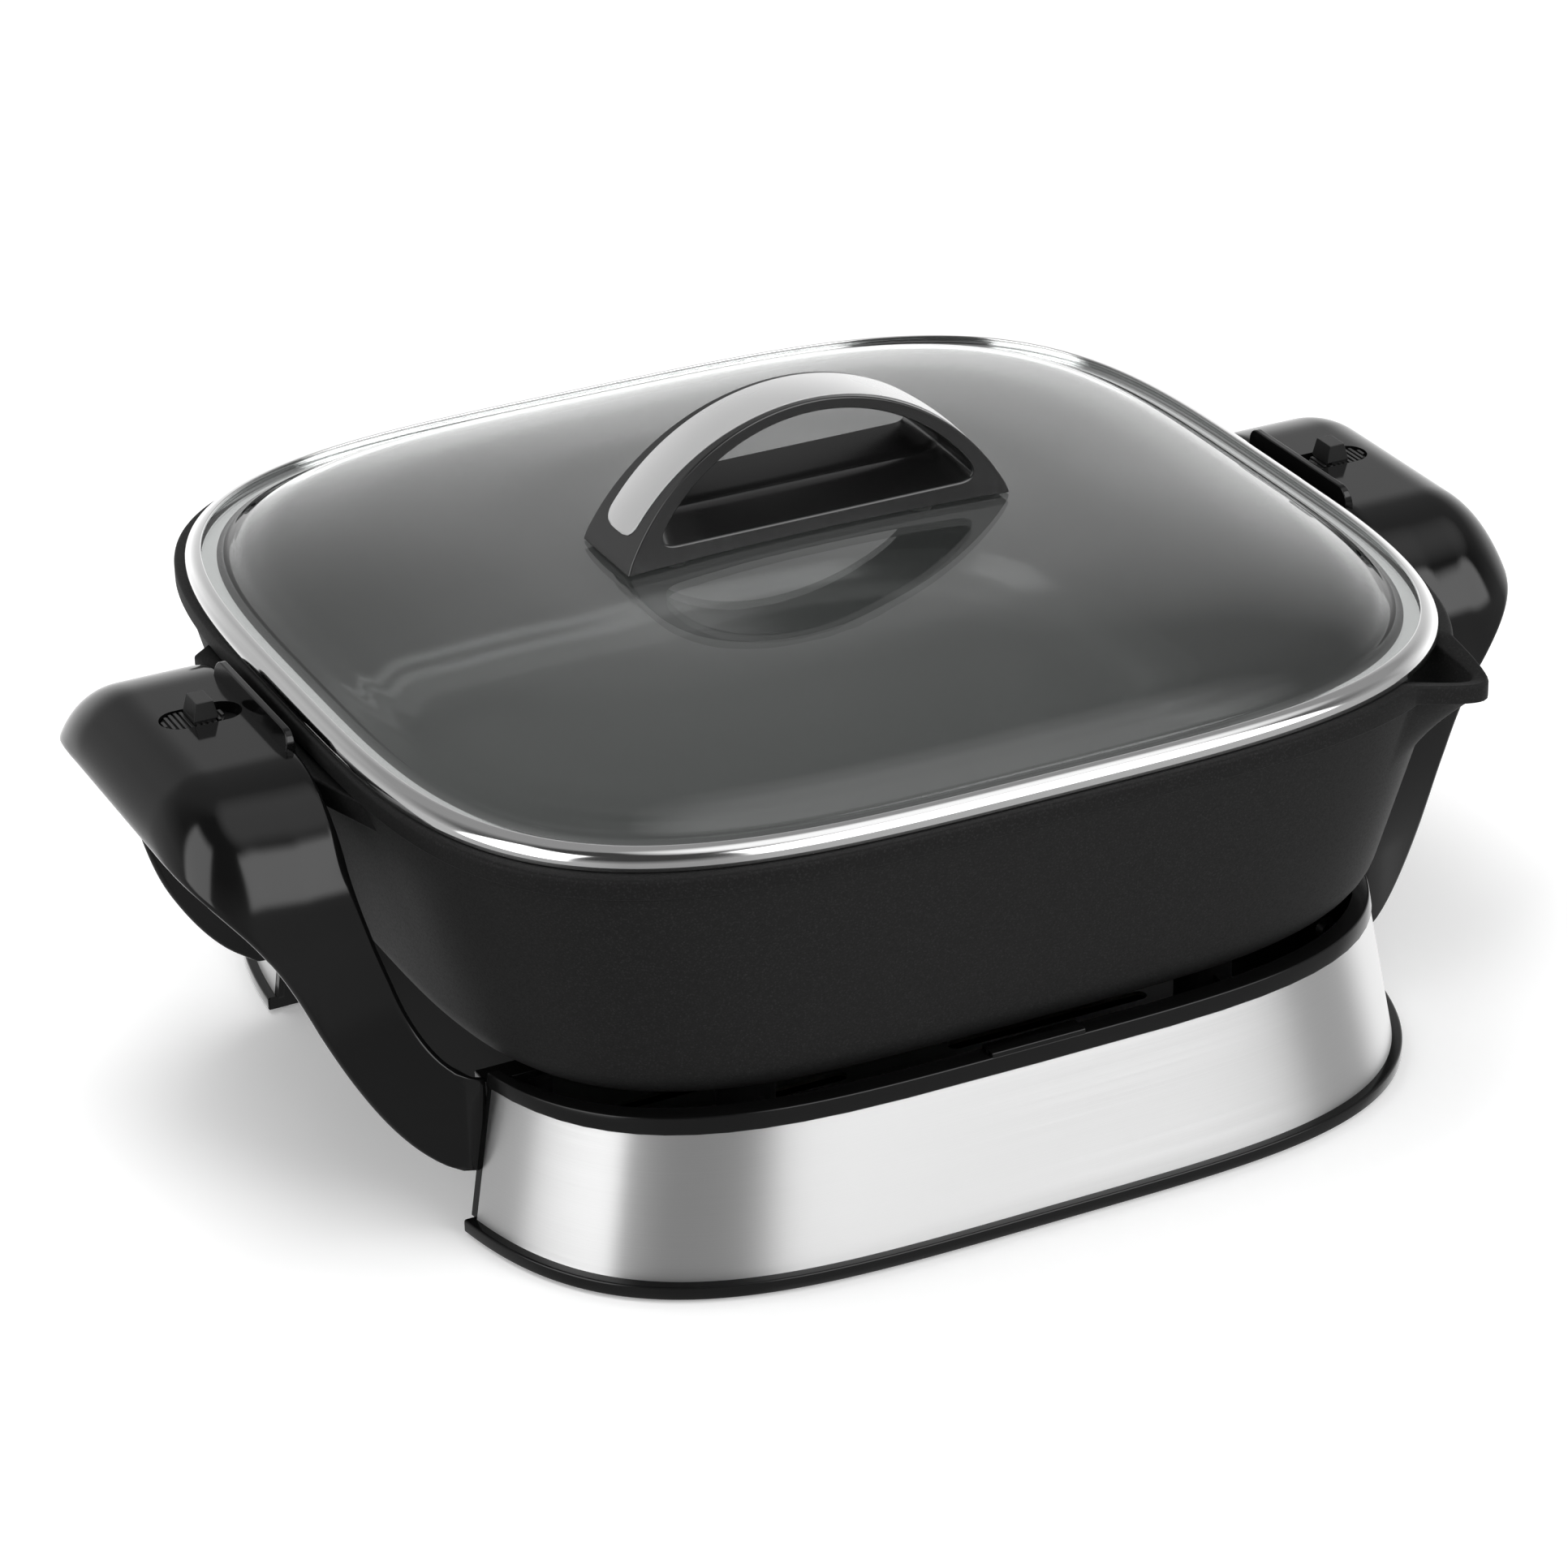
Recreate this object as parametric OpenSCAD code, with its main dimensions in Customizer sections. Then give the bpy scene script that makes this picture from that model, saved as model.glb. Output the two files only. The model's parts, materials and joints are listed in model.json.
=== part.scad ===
// Electric skillet: a square die-cast pan with a glass lid, carried by a base
// with brushed steel panels, two moulded handles and two slide latches.
// Millimetres, +Z up. The origin lies on the table under the middle of the base.

/* [Pan] */
// Half width of the pan rim, across the handles
pan_half_x = 156.2; // [150:0.1:165]
// Half depth of the pan rim, front to back
pan_half_y = 151.7; // [146:0.1:160]
// Squareness of the pan outline, where 2 is an ellipse
pan_square = 3.9; // [3.5:0.05:4.5]
// Height of the pan rim above the table
pan_top = 128; // [122:0.5:136]
// Height of the pan's underside above the table
pan_bottom = 48; // [46:0.5:54]
// Thickness of the pan wall
pan_wall = 4; // [3:0.1:5]
// Thickness of the pan floor
pan_floor = 5; // [4.5:0.1:7]
// Lean of the pan wall from upright, in degrees
pan_taper = 13.5; // [11:0.1:15]
// Outside radius between the pan wall and floor
pan_fillet = 20; // [12:0.5:24]
// Height of the outer face of the rim
rim_h = 5.5; // [4:0.1:6.5]
// Overhang of the rim beyond the wall
rim_lip = 1.5; // [1:0.1:3]
// Width of the rim's flat top
rim_w = 8.5; // [7:0.1:10]
// Reach of the pouring spout beyond the corner
spout_reach = 12; // [8:0.5:16]
// Fall of the spout's edge from the rim to its tip
spout_fall = 6.5; // [2:0.5:8]
// Thickness of the spout's wall
spout_wall = 4.5; // [3.5:0.1:6]
// Reach of the latch ears beyond the rim
ear_reach = 4.1; // [4:0.1:5]
// Length of a latch ear along the rim
ear_length = 104; // [80:1:110]
// Thickness of a latch ear
ear_thick = 7; // [5:0.5:9]

/* [Heating element and probe socket] */
// Radius of the heating loop
loop_r = 78; // [66:1:84]
// Radius of the element tube
tube_r = 4.2; // [3.5:0.1:4.5]
// Distance of each straight end from the middle line
lead_y = 15; // [13:0.5:18]
// Radius of a terminal pin
pin_r = 2.4; // [2:0.1:2.6]
// Radius of the probe hole
probe_r = 4.2; // [3.5:0.1:4.6]
// Length of the probe hole
probe_length = 60; // [40:1:64]
// Depth of the guard round the pins
guard_depth = 22; // [18:0.5:23]
// Height of the guard round the pins
guard_h = 20; // [18:0.5:22]
// Thickness of the guard's walls
guard_t = 2; // [1.5:0.1:2.5]

/* [Lid] */
// Half width of the lid, across the handles
lid_half_x = 155; // [149:0.1:158]
// Half depth of the lid, front to back
lid_half_y = 148.9; // [143:0.1:153]
// Squareness of the lid outline, where 2 is an ellipse
lid_square = 3.67; // [3.3:0.01:4.5]
// Height of the steel band
band_h = 5.35; // [5:0.05:7]
// Thickness of the band's sheet steel
band_t = 0.7; // [0.5:0.05:0.9]
// Width of the band over the glass
band_w = 8.2; // [7:0.1:10]
// Thickness of the glass
glass_t = 3.3; // [3:0.1:3.5]
// Rise of the glass from the pan rim to the middle of the dome
dome_rise = 21.7; // [18:0.1:28]
// Radius of the shallow dome in the middle of the glass
dome_r = 1120; // [900:10:1500]

/* [Lid handle] */
// Length of the lid handle
grip_length = 117.2; // [100:0.2:130]
// Width of the lid handle at its foot
grip_w = 29.2; // [26:0.2:34]
// Width of the lid handle at its top
grip_top_w = 20.4; // [19:0.2:24]
// Height of the lid handle over the glass
grip_h = 37.3; // [34:0.1:44]
// Height of the handle's thin ends
grip_tip = 2.3; // [1.5:0.1:4]
// Height of the opening's front edge over the glass
grip_bar = 4.6; // [4:0.1:7]
// Rise of the opening's floor from the front to the back
grip_rise = 9.6; // [0:0.2:10]
// Thickness of the arch at its top
grip_arch = 3.8; // [3.5:0.1:6]
// Half length of the opening, measured to its sharp corners
grip_gap = 50; // [46:0.2:51]
// Width of the silver inlay
inlay_w = 17.6; // [14:0.2:18]
// Thickness of the silver inlay
inlay_t = 1.2; // [0.8:0.1:1.6]
// Distance of each lid screw from the middle
lid_screw_x = 38; // [30:0.5:42]

/* [Base] */
// Set-back of the foot flange from the pan rim, across the handles
flange_inset_x = 11.3; // [8:0.1:14]
// Set-back of the foot flange from the pan rim, front to back
flange_inset_y = 2.9; // [1:0.1:6]
// Squareness of the base outline
base_square = 3.9; // [3.5:0.05:4.5]
// Height of the foot flange
flange_h = 3.8; // [3:0.1:5]
// Set-back of the steel panel from the flange
panel_step = 2.5; // [1.5:0.1:4]
// Height of the steel panel
panel_h = 41; // [36:0.5:42]
// Thickness of the steel panel
panel_t = 0.8; // [0.6:0.1:1]
// Lean of the side of the panel over its height
lean_x = 5.5; // [3:0.1:7]
// Lean of the front of the panel over its height
lean_y = 8; // [5:0.1:10]
// Height of the black rim above the panel
crown_h = 6; // [4:0.1:7]
// Width of the black rim in front; half as wide at the sides
crown_w = 6; // [4.5:0.1:7]
// Width of the raised tab in the middle of the rim
tab_w = 28; // [20:1:40]
// Height of the raised tab over the rim
tab_h = 1.5; // [0.8:0.1:2]
// Wall of the moulded base
base_wall = 2.5; // [2:0.1:3]
// Reach of the bays under the handles towards the front
bay_front = 78.5; // [74:0.5:82]
// Reach of the bays under the handles towards the back
bay_back = 59; // [58:0.5:82]
// Depth of the bays, in from the foot flange
bay_depth = 26.9; // [24:0.1:30]
// Place of the support posts in from the foot flange, across the handles
post_inset_x = 74.9; // [65:0.1:85]
// Place of the support posts back from the flange
post_inset_y = 44.8; // [40:0.1:48]
// Radius of a support post
post_r = 8; // [7:0.5:9]
// Height of a rubber foot
foot_h = 2; // [1.6:0.1:3]
// Radius of a rubber foot
foot_r = 9; // [7:0.5:12]
// Thickness of the bottom cover
cover_t = 1.2; // [0.8:0.1:1.5]

/* [Side handles] */
// Reach of the handle from the pan's latch ear to its outer edge
handle_depth = 42.3; // [41:0.1:50]
// Drop of the handle's deck below the pan rim
deck_drop = 1.4; // [1:0.1:2]
// Thickness of the handle's shell
shell = 3; // [2.5:0.1:3.2]
// Radius of the deck's rounded outer edge
curl_r = 17; // [14:0.5:17]
// Half length of the flat part of the deck
deck_half = 26; // [22:0.5:30]
// Radius of the handle's shoulders
shoulder_r = 39; // [34:0.5:40]
// Radius of the handle's corners seen from above
corner_r = 20; // [16:0.5:22]
// Height of the guard wall above the deck
fence_h = 5; // [3:0.1:7]
// Length of the guard wall
fence_length = 53; // [44:1:60]
// Height of the inner wall that keeps fingers off the pan
inner_wall_h = 38; // [24:1:40]
// Height of the handle's foot where it meets the base
foot_block_h = 27; // [22:0.5:28]

/* [Slide latches] */
// Place of the latch along the handle
latch_y = 5; // [-6:0.5:6]
// Travel of the latch
latch_travel = 4.6; // [4:0.1:4.8]
// Width of the latch slot
slot_w = 11.6; // [10:0.1:16]
// Length of the latch slot
slot_length = 23; // [22.5:0.1:24]
// Length of the ridged slider
slider_length = 17.6; // [12.5:0.1:17.6]
// Height of the thumb nub over the deck
nub_h = 5.4; // [3:0.1:6]

/* [Hidden] */
$fn = 48;

// Gap between parts that slide or are lifted past each other
slide_gap = 0.4;
// Gap between parts that are fixed to each other
fixed_gap = 0.1;
// Reach of cuts past the solid that they cut
past = 20;

// Angles of the outlines, closer together round the spout
ring_angles = [for (i = [0 : 71]) i * 5];
spout_angle = 315;
spout_spread = 10;
pan_angles = concat(
    [for (a = [-42 : 6 : 300]) if (a > -36) a],
    [for (a = [spout_angle - spout_spread : 2 : spout_angle + spout_spread]) a]
);

// Plan of the base, from the pan's rim inwards
base_half_x = pan_half_x - flange_inset_x;
base_half_y = pan_half_y - flange_inset_y;
bay_x = base_half_x - bay_depth;
post_x = base_half_x - post_inset_x;
post_y = base_half_y - post_inset_y;
foot_x = base_half_x - 44.9;
foot_y = base_half_y - 48.8;

// Heights of the base, from the table up
flange_z = foot_h / 2;
panel_z = flange_z + flange_h;
crown_z = panel_z + panel_h;
crown_top = crown_z + crown_h;
cover_z = foot_h;
post_z = cover_z + cover_t;
pad_h = 2;
post_top = pan_bottom - pad_h;
pad_r = post_r - 1;
pad_stem_r = 2.5;
pad_stem_h = 6;
bay_top = pan_bottom - 4;
well_x = base_half(crown_z)[0] - crown_w / 2 - 1.3;
skin = panel_t + fixed_gap + base_wall;

// Pan heights and slope
slope = tan(pan_taper);
lip_z = pan_top - rim_h;
floor_z = pan_bottom + pan_floor;
inner_fillet = max(pan_fillet - 2, 4);
wall_run = pan_wall / cos(pan_taper);
spout_root = pan_top - 28;
corner_stretch = 1.18;
ear_gap_z = 1.5;
ear_top = lip_z - ear_gap_z;
ear_out = pan_half_x + ear_reach;
ear_slant = 8;

// Probe socket under the pan
tube_z = pan_bottom - 0.8 * tube_r;
well_w = 2 * probe_r + 8;
well_h = 2 * probe_r + 3.6;
probe_z = pan_bottom - well_h / 2;
socket_x = pan_half_x - 24.2;
insulator_r = pin_r + 2.2;
insulator_h = 6;
pin_length = 24;
pin_neck_r = pin_r - 0.4;
pin_neck = insulator_h + 0.2;
guard_half = lead_y + 12;
guard_top = pan_bottom + 3.5;
guard_tab = 26;
guard_tab_w = 7;
guard_screw_x = socket_x - guard_tab / 2;
guard_screw_y = guard_half - guard_tab_w / 2;
guard_screw_r = 1.6;

// Lid
glass_edge = band_t + 0.4;
glass_z = pan_top + band_h - band_t - fixed_gap - 0.4;
glass_top = pan_top + dome_rise;
shoulder_in = band_w + 1.3;
dome_start = 62;
lid_screw_r = 2;
screw_seat = glass_top - lid_screw_x * lid_screw_x / (2 * dome_r) - glass_t - 0.55;
lid_screw_depth = 5.5;
gasket_t = 1;
washer_t = 1;

// Side handles
ear_gap = 0.7;
handle_in = ear_out + ear_gap;
handle_out = handle_in + handle_depth;
deck_z = pan_top - deck_drop;
deck_under = deck_z - shell;
inner_wall = 2.5;
foot_top = crown_z - 1;
foot_low = foot_top - foot_block_h;
foot_in = bay_x + fixed_gap;
foot_depth = 7.5;
lip_h = 1.5;
seam_x = bay_seam(bay_front);
bay_length = bay_front + bay_back;
handle_screw_x = bay_x + 6;
handle_screw_z = [foot_low + 7.5, foot_top - 7];
handle_screw_r = 1.6;
shoulder_end = deck_half + shoulder_r;
back_end = max(bay_back, shoulder_end) + 1;

// Slide latches
tongue_in = ear_out + ear_gap + 0.3;
slot_out = handle_out - curl_r + 0.9;
slot_in = slot_out - slot_length;
slider_in = slot_in + latch_travel + slide_gap;
slider_w = slot_w - 2 * slide_gap;
carrier_in = handle_in + inner_wall + latch_travel + slide_gap;
carrier_out = slider_in + slider_length + 2;
carrier_w = slot_w + 4;
carrier_t = 3;
carrier_z = deck_under - slide_gap - carrier_t;
tongue_w = slot_w;
tongue_z = ear_top + slide_gap;
tongue_t = carrier_z + carrier_t - tongue_z;
retainer_t = 1.2;
retainer_z = carrier_z - slide_gap - retainer_t;
retainer_screw_y = carrier_w / 2 + 4;
retainer_screw_x = (carrier_in + carrier_out) / 2;
retainer_screw_r = 1.4;
boss_r = 3.2;

// Curves and outlines

function signed_power(v, e) = sign(v) * pow(abs(v), e);

// One ring of a rounded square outline with half sizes h, at height z
function ring(h, square, z, angles = ring_angles) = [
    for (a = angles)
        [h[0] * signed_power(cos(a), 2 / square), h[1] * signed_power(sin(a), 2 / square), z]
];

// Half width of a rounded square outline at depth y
function outline_x(h, y, square) = h[0] * pow(1 - pow(y / h[1], square), 1 / square);

function grow(h, d) = [h[0] + d, h[1] + d];

function mix(a, b, t) = a + (b - a) * t;

// Cubic curve through p[0] and p[3] in k steps
function curve(p, k) = [
    for (i = [0 : k])
        let (t = i / k, u = 1 - t)
        u * u * u * p[0] + 3 * u * u * t * p[1] + 3 * u * t * t * p[2] + t * t * t * p[3]
];

function arc(c, r, from, to, k) = [
    for (i = [0 : k]) let (a = mix(from, to, i / k)) c + r * [cos(a), sin(a)]
];

function mirrored(points) = [for (i = [len(points) - 1 : -1 : 0]) [points[i][0], -points[i][1]]];

// Solid or closed band through a list of rings with equal counts of points
module loft(rings, band = false) {
    n = len(rings[0]);
    m = len(rings);
    spans = band ? m : m - 1;
    sides = [
        for (j = [0 : spans - 1], i = [0 : n - 1])
            let (
                a = j * n + i,
                b = j * n + (i + 1) % n,
                c = ((j + 1) % m) * n + i,
                d = ((j + 1) % m) * n + (i + 1) % n
            )
            each [[a, c, d], [a, d, b]]
    ];
    low_cap = [[for (i = [0 : n - 1]) i]];
    top_cap = [[for (i = [n - 1 : -1 : 0]) (m - 1) * n + i]];
    polyhedron(
        points = [for (r = rings) each r],
        faces = band ? sides : concat(sides, low_cap, top_cap),
        convexity = 6
    );
}

// Prism of an outline in X and Z, spanning y_low to y_high
module along_y(y_low, y_high) {
    translate([0, y_high, 0]) rotate([90, 0, 0]) linear_extrude(y_high - y_low) children();
}

// Prism of an outline in Y and Z, spanning x_low to x_high
module along_x(x_low, x_high) {
    translate([x_low, 0, 0]) rotate([90, 0, 90]) linear_extrude(x_high - x_low) children();
}

module stadium(length, w) {
    square([length - w, w], center = true);
    for (s = [-1, 1]) translate([s * (length - w) / 2, 0]) circle(d = w);
}

module soft_rectangle(w, h, r) {
    square([w - 2 * r, h], center = true);
    square([w, h - 2 * r], center = true);
    for (sx = [-1, 1], sy = [-1, 1]) translate([sx * (w / 2 - r), sy * (h / 2 - r)]) circle(r);
}

module four_corners(x, y) {
    for (sx = [-1, 1], sy = [-1, 1]) translate([sx * x, sy * y, 0]) children();
}

module on_left() {
    mirror([1, 0, 0]) children();
}

// Pan

function pan_half(z) = grow([pan_half_x, pan_half_y], -rim_lip - (lip_z - z) * slope);

// Share of the full spout at one outline angle, from 0 to 1
function spout_share(a) =
    let (soft = 0.25, u = abs(a - spout_angle) / spout_spread)
    u >= 1 ? 0 : 1 - (sqrt(u * u + soft * soft) - soft) / (sqrt(1 + soft * soft) - soft);

// Ring of the pan whose corner is drawn out by reach and down by fall
function pan_ring(h, z, reach, fall) =
    let (r = ring(h, pan_square, z, pan_angles))
    [
        for (i = [0 : len(r) - 1])
            let (s = spout_share(pan_angles[i]))
            r[i] + s * [reach * cos(spout_angle), reach * sin(spout_angle), -fall]
    ];

// Rings of a rounded corner between a floor at height z and a leaning wall
function fillet_rings(z, r, inset, steps) =
    let (
        turn = 90 - pan_taper,
        meet = z + r - r * cos(turn),
        centre = grow(pan_half(meet), -inset - r * sin(turn))
    )
    [
        for (i = [0 : steps])
            let (a = turn * i / steps)
            pan_ring(grow(centre, r * sin(a)), z + r - r * cos(a), 0, 0)
    ];

module pan_bowl() {
    inner = fillet_rings(floor_z, inner_fillet, wall_run, 4);
    inner_reach = spout_reach - spout_wall + rim_w * corner_stretch;
    loft(concat(
        fillet_rings(pan_bottom, pan_fillet, 0, 5),
        [
            pan_ring(pan_half(spout_root), spout_root, 0, 0),
            pan_ring(pan_half(lip_z), lip_z, spout_reach * 0.85, spout_fall),
            pan_ring([pan_half_x, pan_half_y], lip_z, spout_reach, spout_fall),
            pan_ring([pan_half_x, pan_half_y], pan_top - 1, spout_reach, spout_fall),
            pan_ring([pan_half_x - 1, pan_half_y - 1], pan_top, spout_reach, spout_fall),
            pan_ring([pan_half_x - rim_w, pan_half_y - rim_w], pan_top, inner_reach, spout_fall),
            pan_ring([pan_half_x - rim_w - 0.6, pan_half_y - rim_w - 0.6], pan_top - 1, inner_reach, spout_fall),
            pan_ring([pan_half_x - rim_w - 1, pan_half_y - rim_w - 1], pan_top - 8, inner_reach * 0.62, spout_fall),
            pan_ring(grow(pan_half(spout_root), -wall_run), spout_root, 0, 0)
        ],
        [for (i = [4 : -1 : 0]) inner[i]]
    ));
}

// Cast ears under the rim that the latches reach over
module pan_ears() {
    root = pan_half(ear_top - ear_thick)[0] - pan_wall / 2;
    half = ear_length / 2;
    for (s = [0, 1]) mirror([s, 0, 0])
        translate([0, 0, ear_top - ear_thick])
            linear_extrude(ear_thick)
                polygon([
                    [root, -half - ear_slant], [ear_out, -half],
                    [ear_out, half], [root, half + ear_slant]
                ]);
}

module pan() {
    color("#1d1d1e")
        difference() {
            union() {
                pan_bowl();
                pan_ears();
            }
            for (s = [-1, 1])
                translate([guard_screw_x, s * guard_screw_y, pan_bottom - 1])
                    cylinder(r = guard_screw_r + fixed_gap, h = 1 + pan_floor - 1.5);
        }
}

// Heating element and probe socket

// Open loop whose ends run into two thicker cold ends, flat where it is brazed to the pan
module heating_element() {
    lead_r = tube_r + 0.5;
    join = asin(lead_y / loop_r);
    lead_x = loop_r * cos(join) - lead_r - 1;
    color("#8f8f8c")
        difference() {
            translate([0, 0, tube_z]) {
                rotate([0, 0, join])
                    rotate_extrude(angle = 360 - 2 * join) translate([loop_r, 0]) circle(tube_r);
                for (s = [-1, 1])
                    translate([lead_x, s * lead_y, 0])
                        rotate([0, 90, 0]) cylinder(r = lead_r, h = socket_x - lead_x);
            }
            translate([-socket_x, -socket_x, pan_bottom]) cube([3 * socket_x, 2 * socket_x, past]);
        }
}

module lead_places() {
    for (s = [-1, 1]) translate([socket_x, s * lead_y, tube_z]) rotate([0, 90, 0]) children();
}

module terminal_pins() {
    color("#c9b06a")
        lead_places() {
            cylinder(r = pin_neck_r, h = pin_neck);
            translate([0, 0, pin_neck]) cylinder(r = pin_r, h = pin_length - pin_neck - pin_r);
            translate([0, 0, pin_length - pin_r]) cylinder(r1 = pin_r, r2 = pin_r / 2, h = pin_r);
        }
}

module terminal_insulators() {
    color("#e8e4da")
        lead_places()
            difference() {
                cylinder(r = insulator_r, h = insulator_h);
                translate([0, 0, -1]) cylinder(r = pin_neck_r + fixed_gap, h = insulator_h + 2);
            }
}

module probe_well() {
    color("#a9aaac")
        difference() {
            along_x(socket_x - probe_length - 5, socket_x)
                translate([0, probe_z])
                    intersection() {
                        translate([0, (well_h - well_w) / 2]) circle(d = well_w + 4);
                        square([well_w, well_h], center = true);
                    }
            translate([socket_x - probe_length, 0, probe_z])
                rotate([0, 90, 0]) cylinder(r = probe_r, h = probe_length + 1);
        }
}

module guard_outline(d) {
    translate([0, guard_top - guard_h / 2])
        soft_rectangle(2 * guard_half - 2 * d, guard_h - 2 * d, 5 - d);
}

module probe_guard() {
    color("#b9babb")
        difference() {
            union() {
                along_x(socket_x, socket_x + guard_depth) guard_outline(0);
                for (s = [-1, 1])
                    translate([
                        socket_x - guard_tab,
                        s * guard_screw_y - guard_tab_w / 2,
                        pan_bottom - guard_t
                    ])
                        cube([guard_tab + guard_t, guard_tab_w, guard_t]);
            }
            along_x(socket_x + guard_t, socket_x + guard_depth + past) guard_outline(guard_t);
            lead_places()
                translate([0, 0, -1]) cylinder(r = insulator_r + fixed_gap, h = guard_t + 2);
            translate([socket_x - 1, 0, probe_z])
                rotate([0, 90, 0]) cylinder(r = probe_r + 0.5, h = guard_t + 2);
            for (s = [-1, 1])
                translate([guard_screw_x, s * guard_screw_y, pan_bottom - guard_t - 1])
                    cylinder(r = guard_screw_r + 0.3, h = guard_t + 2);
        }
}

// Round-headed screw whose head seats at the origin and whose shaft runs up
module screw(r, length, head_r, head_h) {
    cylinder(r = r, h = length);
    difference() {
        translate([0, 0, -head_h]) cylinder(r1 = 0.75 * head_r, r2 = head_r, h = head_h);
        for (a = [0, 90])
            rotate([0, 0, a]) translate([0, 0, -head_h]) cube([head_r, 0.5 * r, head_h], center = true);
    }
}

module guard_screws() {
    color("#c4c5c6")
        for (s = [-1, 1])
            translate([guard_screw_x, s * guard_screw_y, pan_bottom - guard_t])
                screw(guard_screw_r, guard_t + pan_floor - 2, 3.2, 2);
}

// Lid

// Half sizes of the lid outline drawn in by d
function lid_half(d) = [lid_half_x - d, lid_half_y - d];

// Steps of the glass from the edge inwards: half sizes, squareness and height of the top face
function glass_steps() =
    let (
        rise = glass_top - glass_z,
        edge_n = lid_square,
        seat = dome_start * dome_start / (2 * dome_r)
    )
    [
        [lid_half(glass_edge), edge_n, glass_z],
        [lid_half(shoulder_in), edge_n, glass_z + 0.2],
        [lid_half(shoulder_in + 3), edge_n, glass_z + 0.09 * rise],
        [lid_half(shoulder_in + 8), edge_n, glass_z + 0.27 * rise],
        [lid_half(shoulder_in + 16), edge_n - 0.1, glass_z + 0.45 * rise],
        [lid_half(shoulder_in + 34), edge_n - 0.4, glass_z + 0.67 * rise],
        [lid_half(shoulder_in + 58), 2.6, glass_z + 0.83 * rise],
        [[dome_start, dome_start], 2, glass_top - seat],
        [[dome_start / 2, dome_start / 2], 2, glass_top - seat / 4],
        [[6, 6], 2, glass_top]
    ];

module lid_glass() {
    steps = glass_steps();
    last = len(steps) - 1;
    color([0.75, 0.8, 0.8, 0.35])
        difference() {
            loft(concat(
                [for (i = [last : -1 : 0]) ring(steps[i][0], steps[i][1], steps[i][2] - glass_t)],
                [for (i = [0 : last]) ring(steps[i][0], steps[i][1], steps[i][2])]
            ));
            for (s = [-1, 1])
                translate([s * lid_screw_x, 0, glass_top - past])
                    cylinder(r = lid_screw_r + 0.8, h = 2 * past);
        }
}

// Rolled steel band that grips the edge of the glass and lies on the pan rim
module lid_rim() {
    top = pan_top + band_h;
    low = glass_z - glass_t - fixed_gap;
    profile = [
        [0.4, pan_top], [0, pan_top + 0.4], [0, top - 0.8], [0.8, top],
        [3.2, top], [4, top - 0.35], [5.2, top - 0.35], [6, top], [band_w - 0.6, top],
        [band_w, top - 0.5], [band_w, top - band_t - 0.2], [band_t, top - band_t - 0.35],
        [band_t, low], [6, low], [6, pan_top]
    ];
    color("#d4d6d8") loft([for (p = profile) ring(lid_half(p[0]), lid_square, p[1])], band = true);
}

// Lid handle

grip_half = grip_length / 2;
grip_z = glass_top - grip_half * grip_half / (2 * dome_r);
grip_end = grip_z + grip_tip;
grip_top = glass_top + grip_h;
grip_r = bow_r(grip_half, grip_top - grip_end);
grip_angle = asin(grip_half / grip_r);
inlay_end = 8.5;
gap_floor = glass_top + grip_bar;
gap_top = grip_top - grip_arch;
gap_r = bow_r(grip_gap, gap_top - gap_floor);

// Radius of a bow over a half chord with a given rise
function bow_r(half, rise) = (half * half + rise * rise) / (2 * rise);

// Arch over the glass, drawn in by d and ending short of both tips by an angle
function grip_arc(d, short) = [
    for (i = [0 : 30])
        let (a = mix(grip_angle - short, short - grip_angle, i / 30))
        [(grip_r - d) * sin(a), grip_top - grip_r + (grip_r - d) * cos(a)]
];

// Front view of the opening: a bow on a flat floor with rounded corners
module grip_opening() {
    spring = 53;
    lead = 4.5;
    foot = [gap_r * sin(spring), gap_top - gap_r + gap_r * cos(spring)];
    half = concat(
        curve([
            [grip_gap - 7, gap_floor],
            [grip_gap - 2.5, gap_floor],
            foot + lead * [cos(spring), -sin(spring)],
            foot
        ], 6),
        [for (i = [1 : 12])
            let (a = spring * (1 - i / 12))
            [gap_r * sin(a), gap_top - gap_r + gap_r * cos(a)]]
    );
    polygon(concat(half, [for (i = [len(half) - 2 : -1 : 0]) [-half[i][0], half[i][1]]]));
}

// Floor of the opening, rising to the back
module gap_floor_slope() {
    half = grip_w / 2;
    polygon([
        [-half, gap_floor], [half, gap_floor + grip_rise], [half + 1, gap_floor + grip_rise],
        [half + 1, gap_floor - 1], [-half, gap_floor - 1]
    ]);
}

module inlay_band(d) {
    turn = d / grip_r * 180 / PI;
    outer = grip_arc(-d, inlay_end - turn);
    inner = grip_arc(inlay_t + d, inlay_end - turn);
    along_y(-inlay_w / 2 - d, inlay_w / 2 + d)
        polygon(concat(outer, [for (i = [30 : -1 : 0]) inner[i]]));
}

module lid_handle() {
    color("#232324")
        difference() {
            intersection() {
                along_y(-grip_w, grip_w)
                    polygon(concat(
                        [[grip_half, grip_z - 1]],
                        grip_arc(0, 0),
                        [[-grip_half, grip_z - 1]]
                    ));
                along_x(-grip_length, grip_length)
                    polygon([
                        [-grip_w / 2, grip_z - 1], [grip_w / 2, grip_z - 1],
                        [grip_w / 2, grip_end],
                        [grip_top_w / 2, grip_top + 1], [-grip_top_w / 2, grip_top + 1],
                        [-grip_w / 2, grip_end]
                    ]);
            }
            difference() {
                along_y(-grip_w, grip_w) grip_opening();
                along_x(-grip_length, grip_length) gap_floor_slope();
            }
            inlay_band(1.5 * fixed_gap);
            translate([0, 0, glass_top - dome_r + 2 * fixed_gap]) sphere(r = dome_r, $fn = 180);
            for (s = [-1, 1])
                translate([s * lid_screw_x, 0, glass_top - past])
                    cylinder(r = lid_screw_r + fixed_gap, h = past + lid_screw_depth);
        }
}

module handle_inlay() {
    color("#c3c5c7") inlay_band(0);
}

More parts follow.
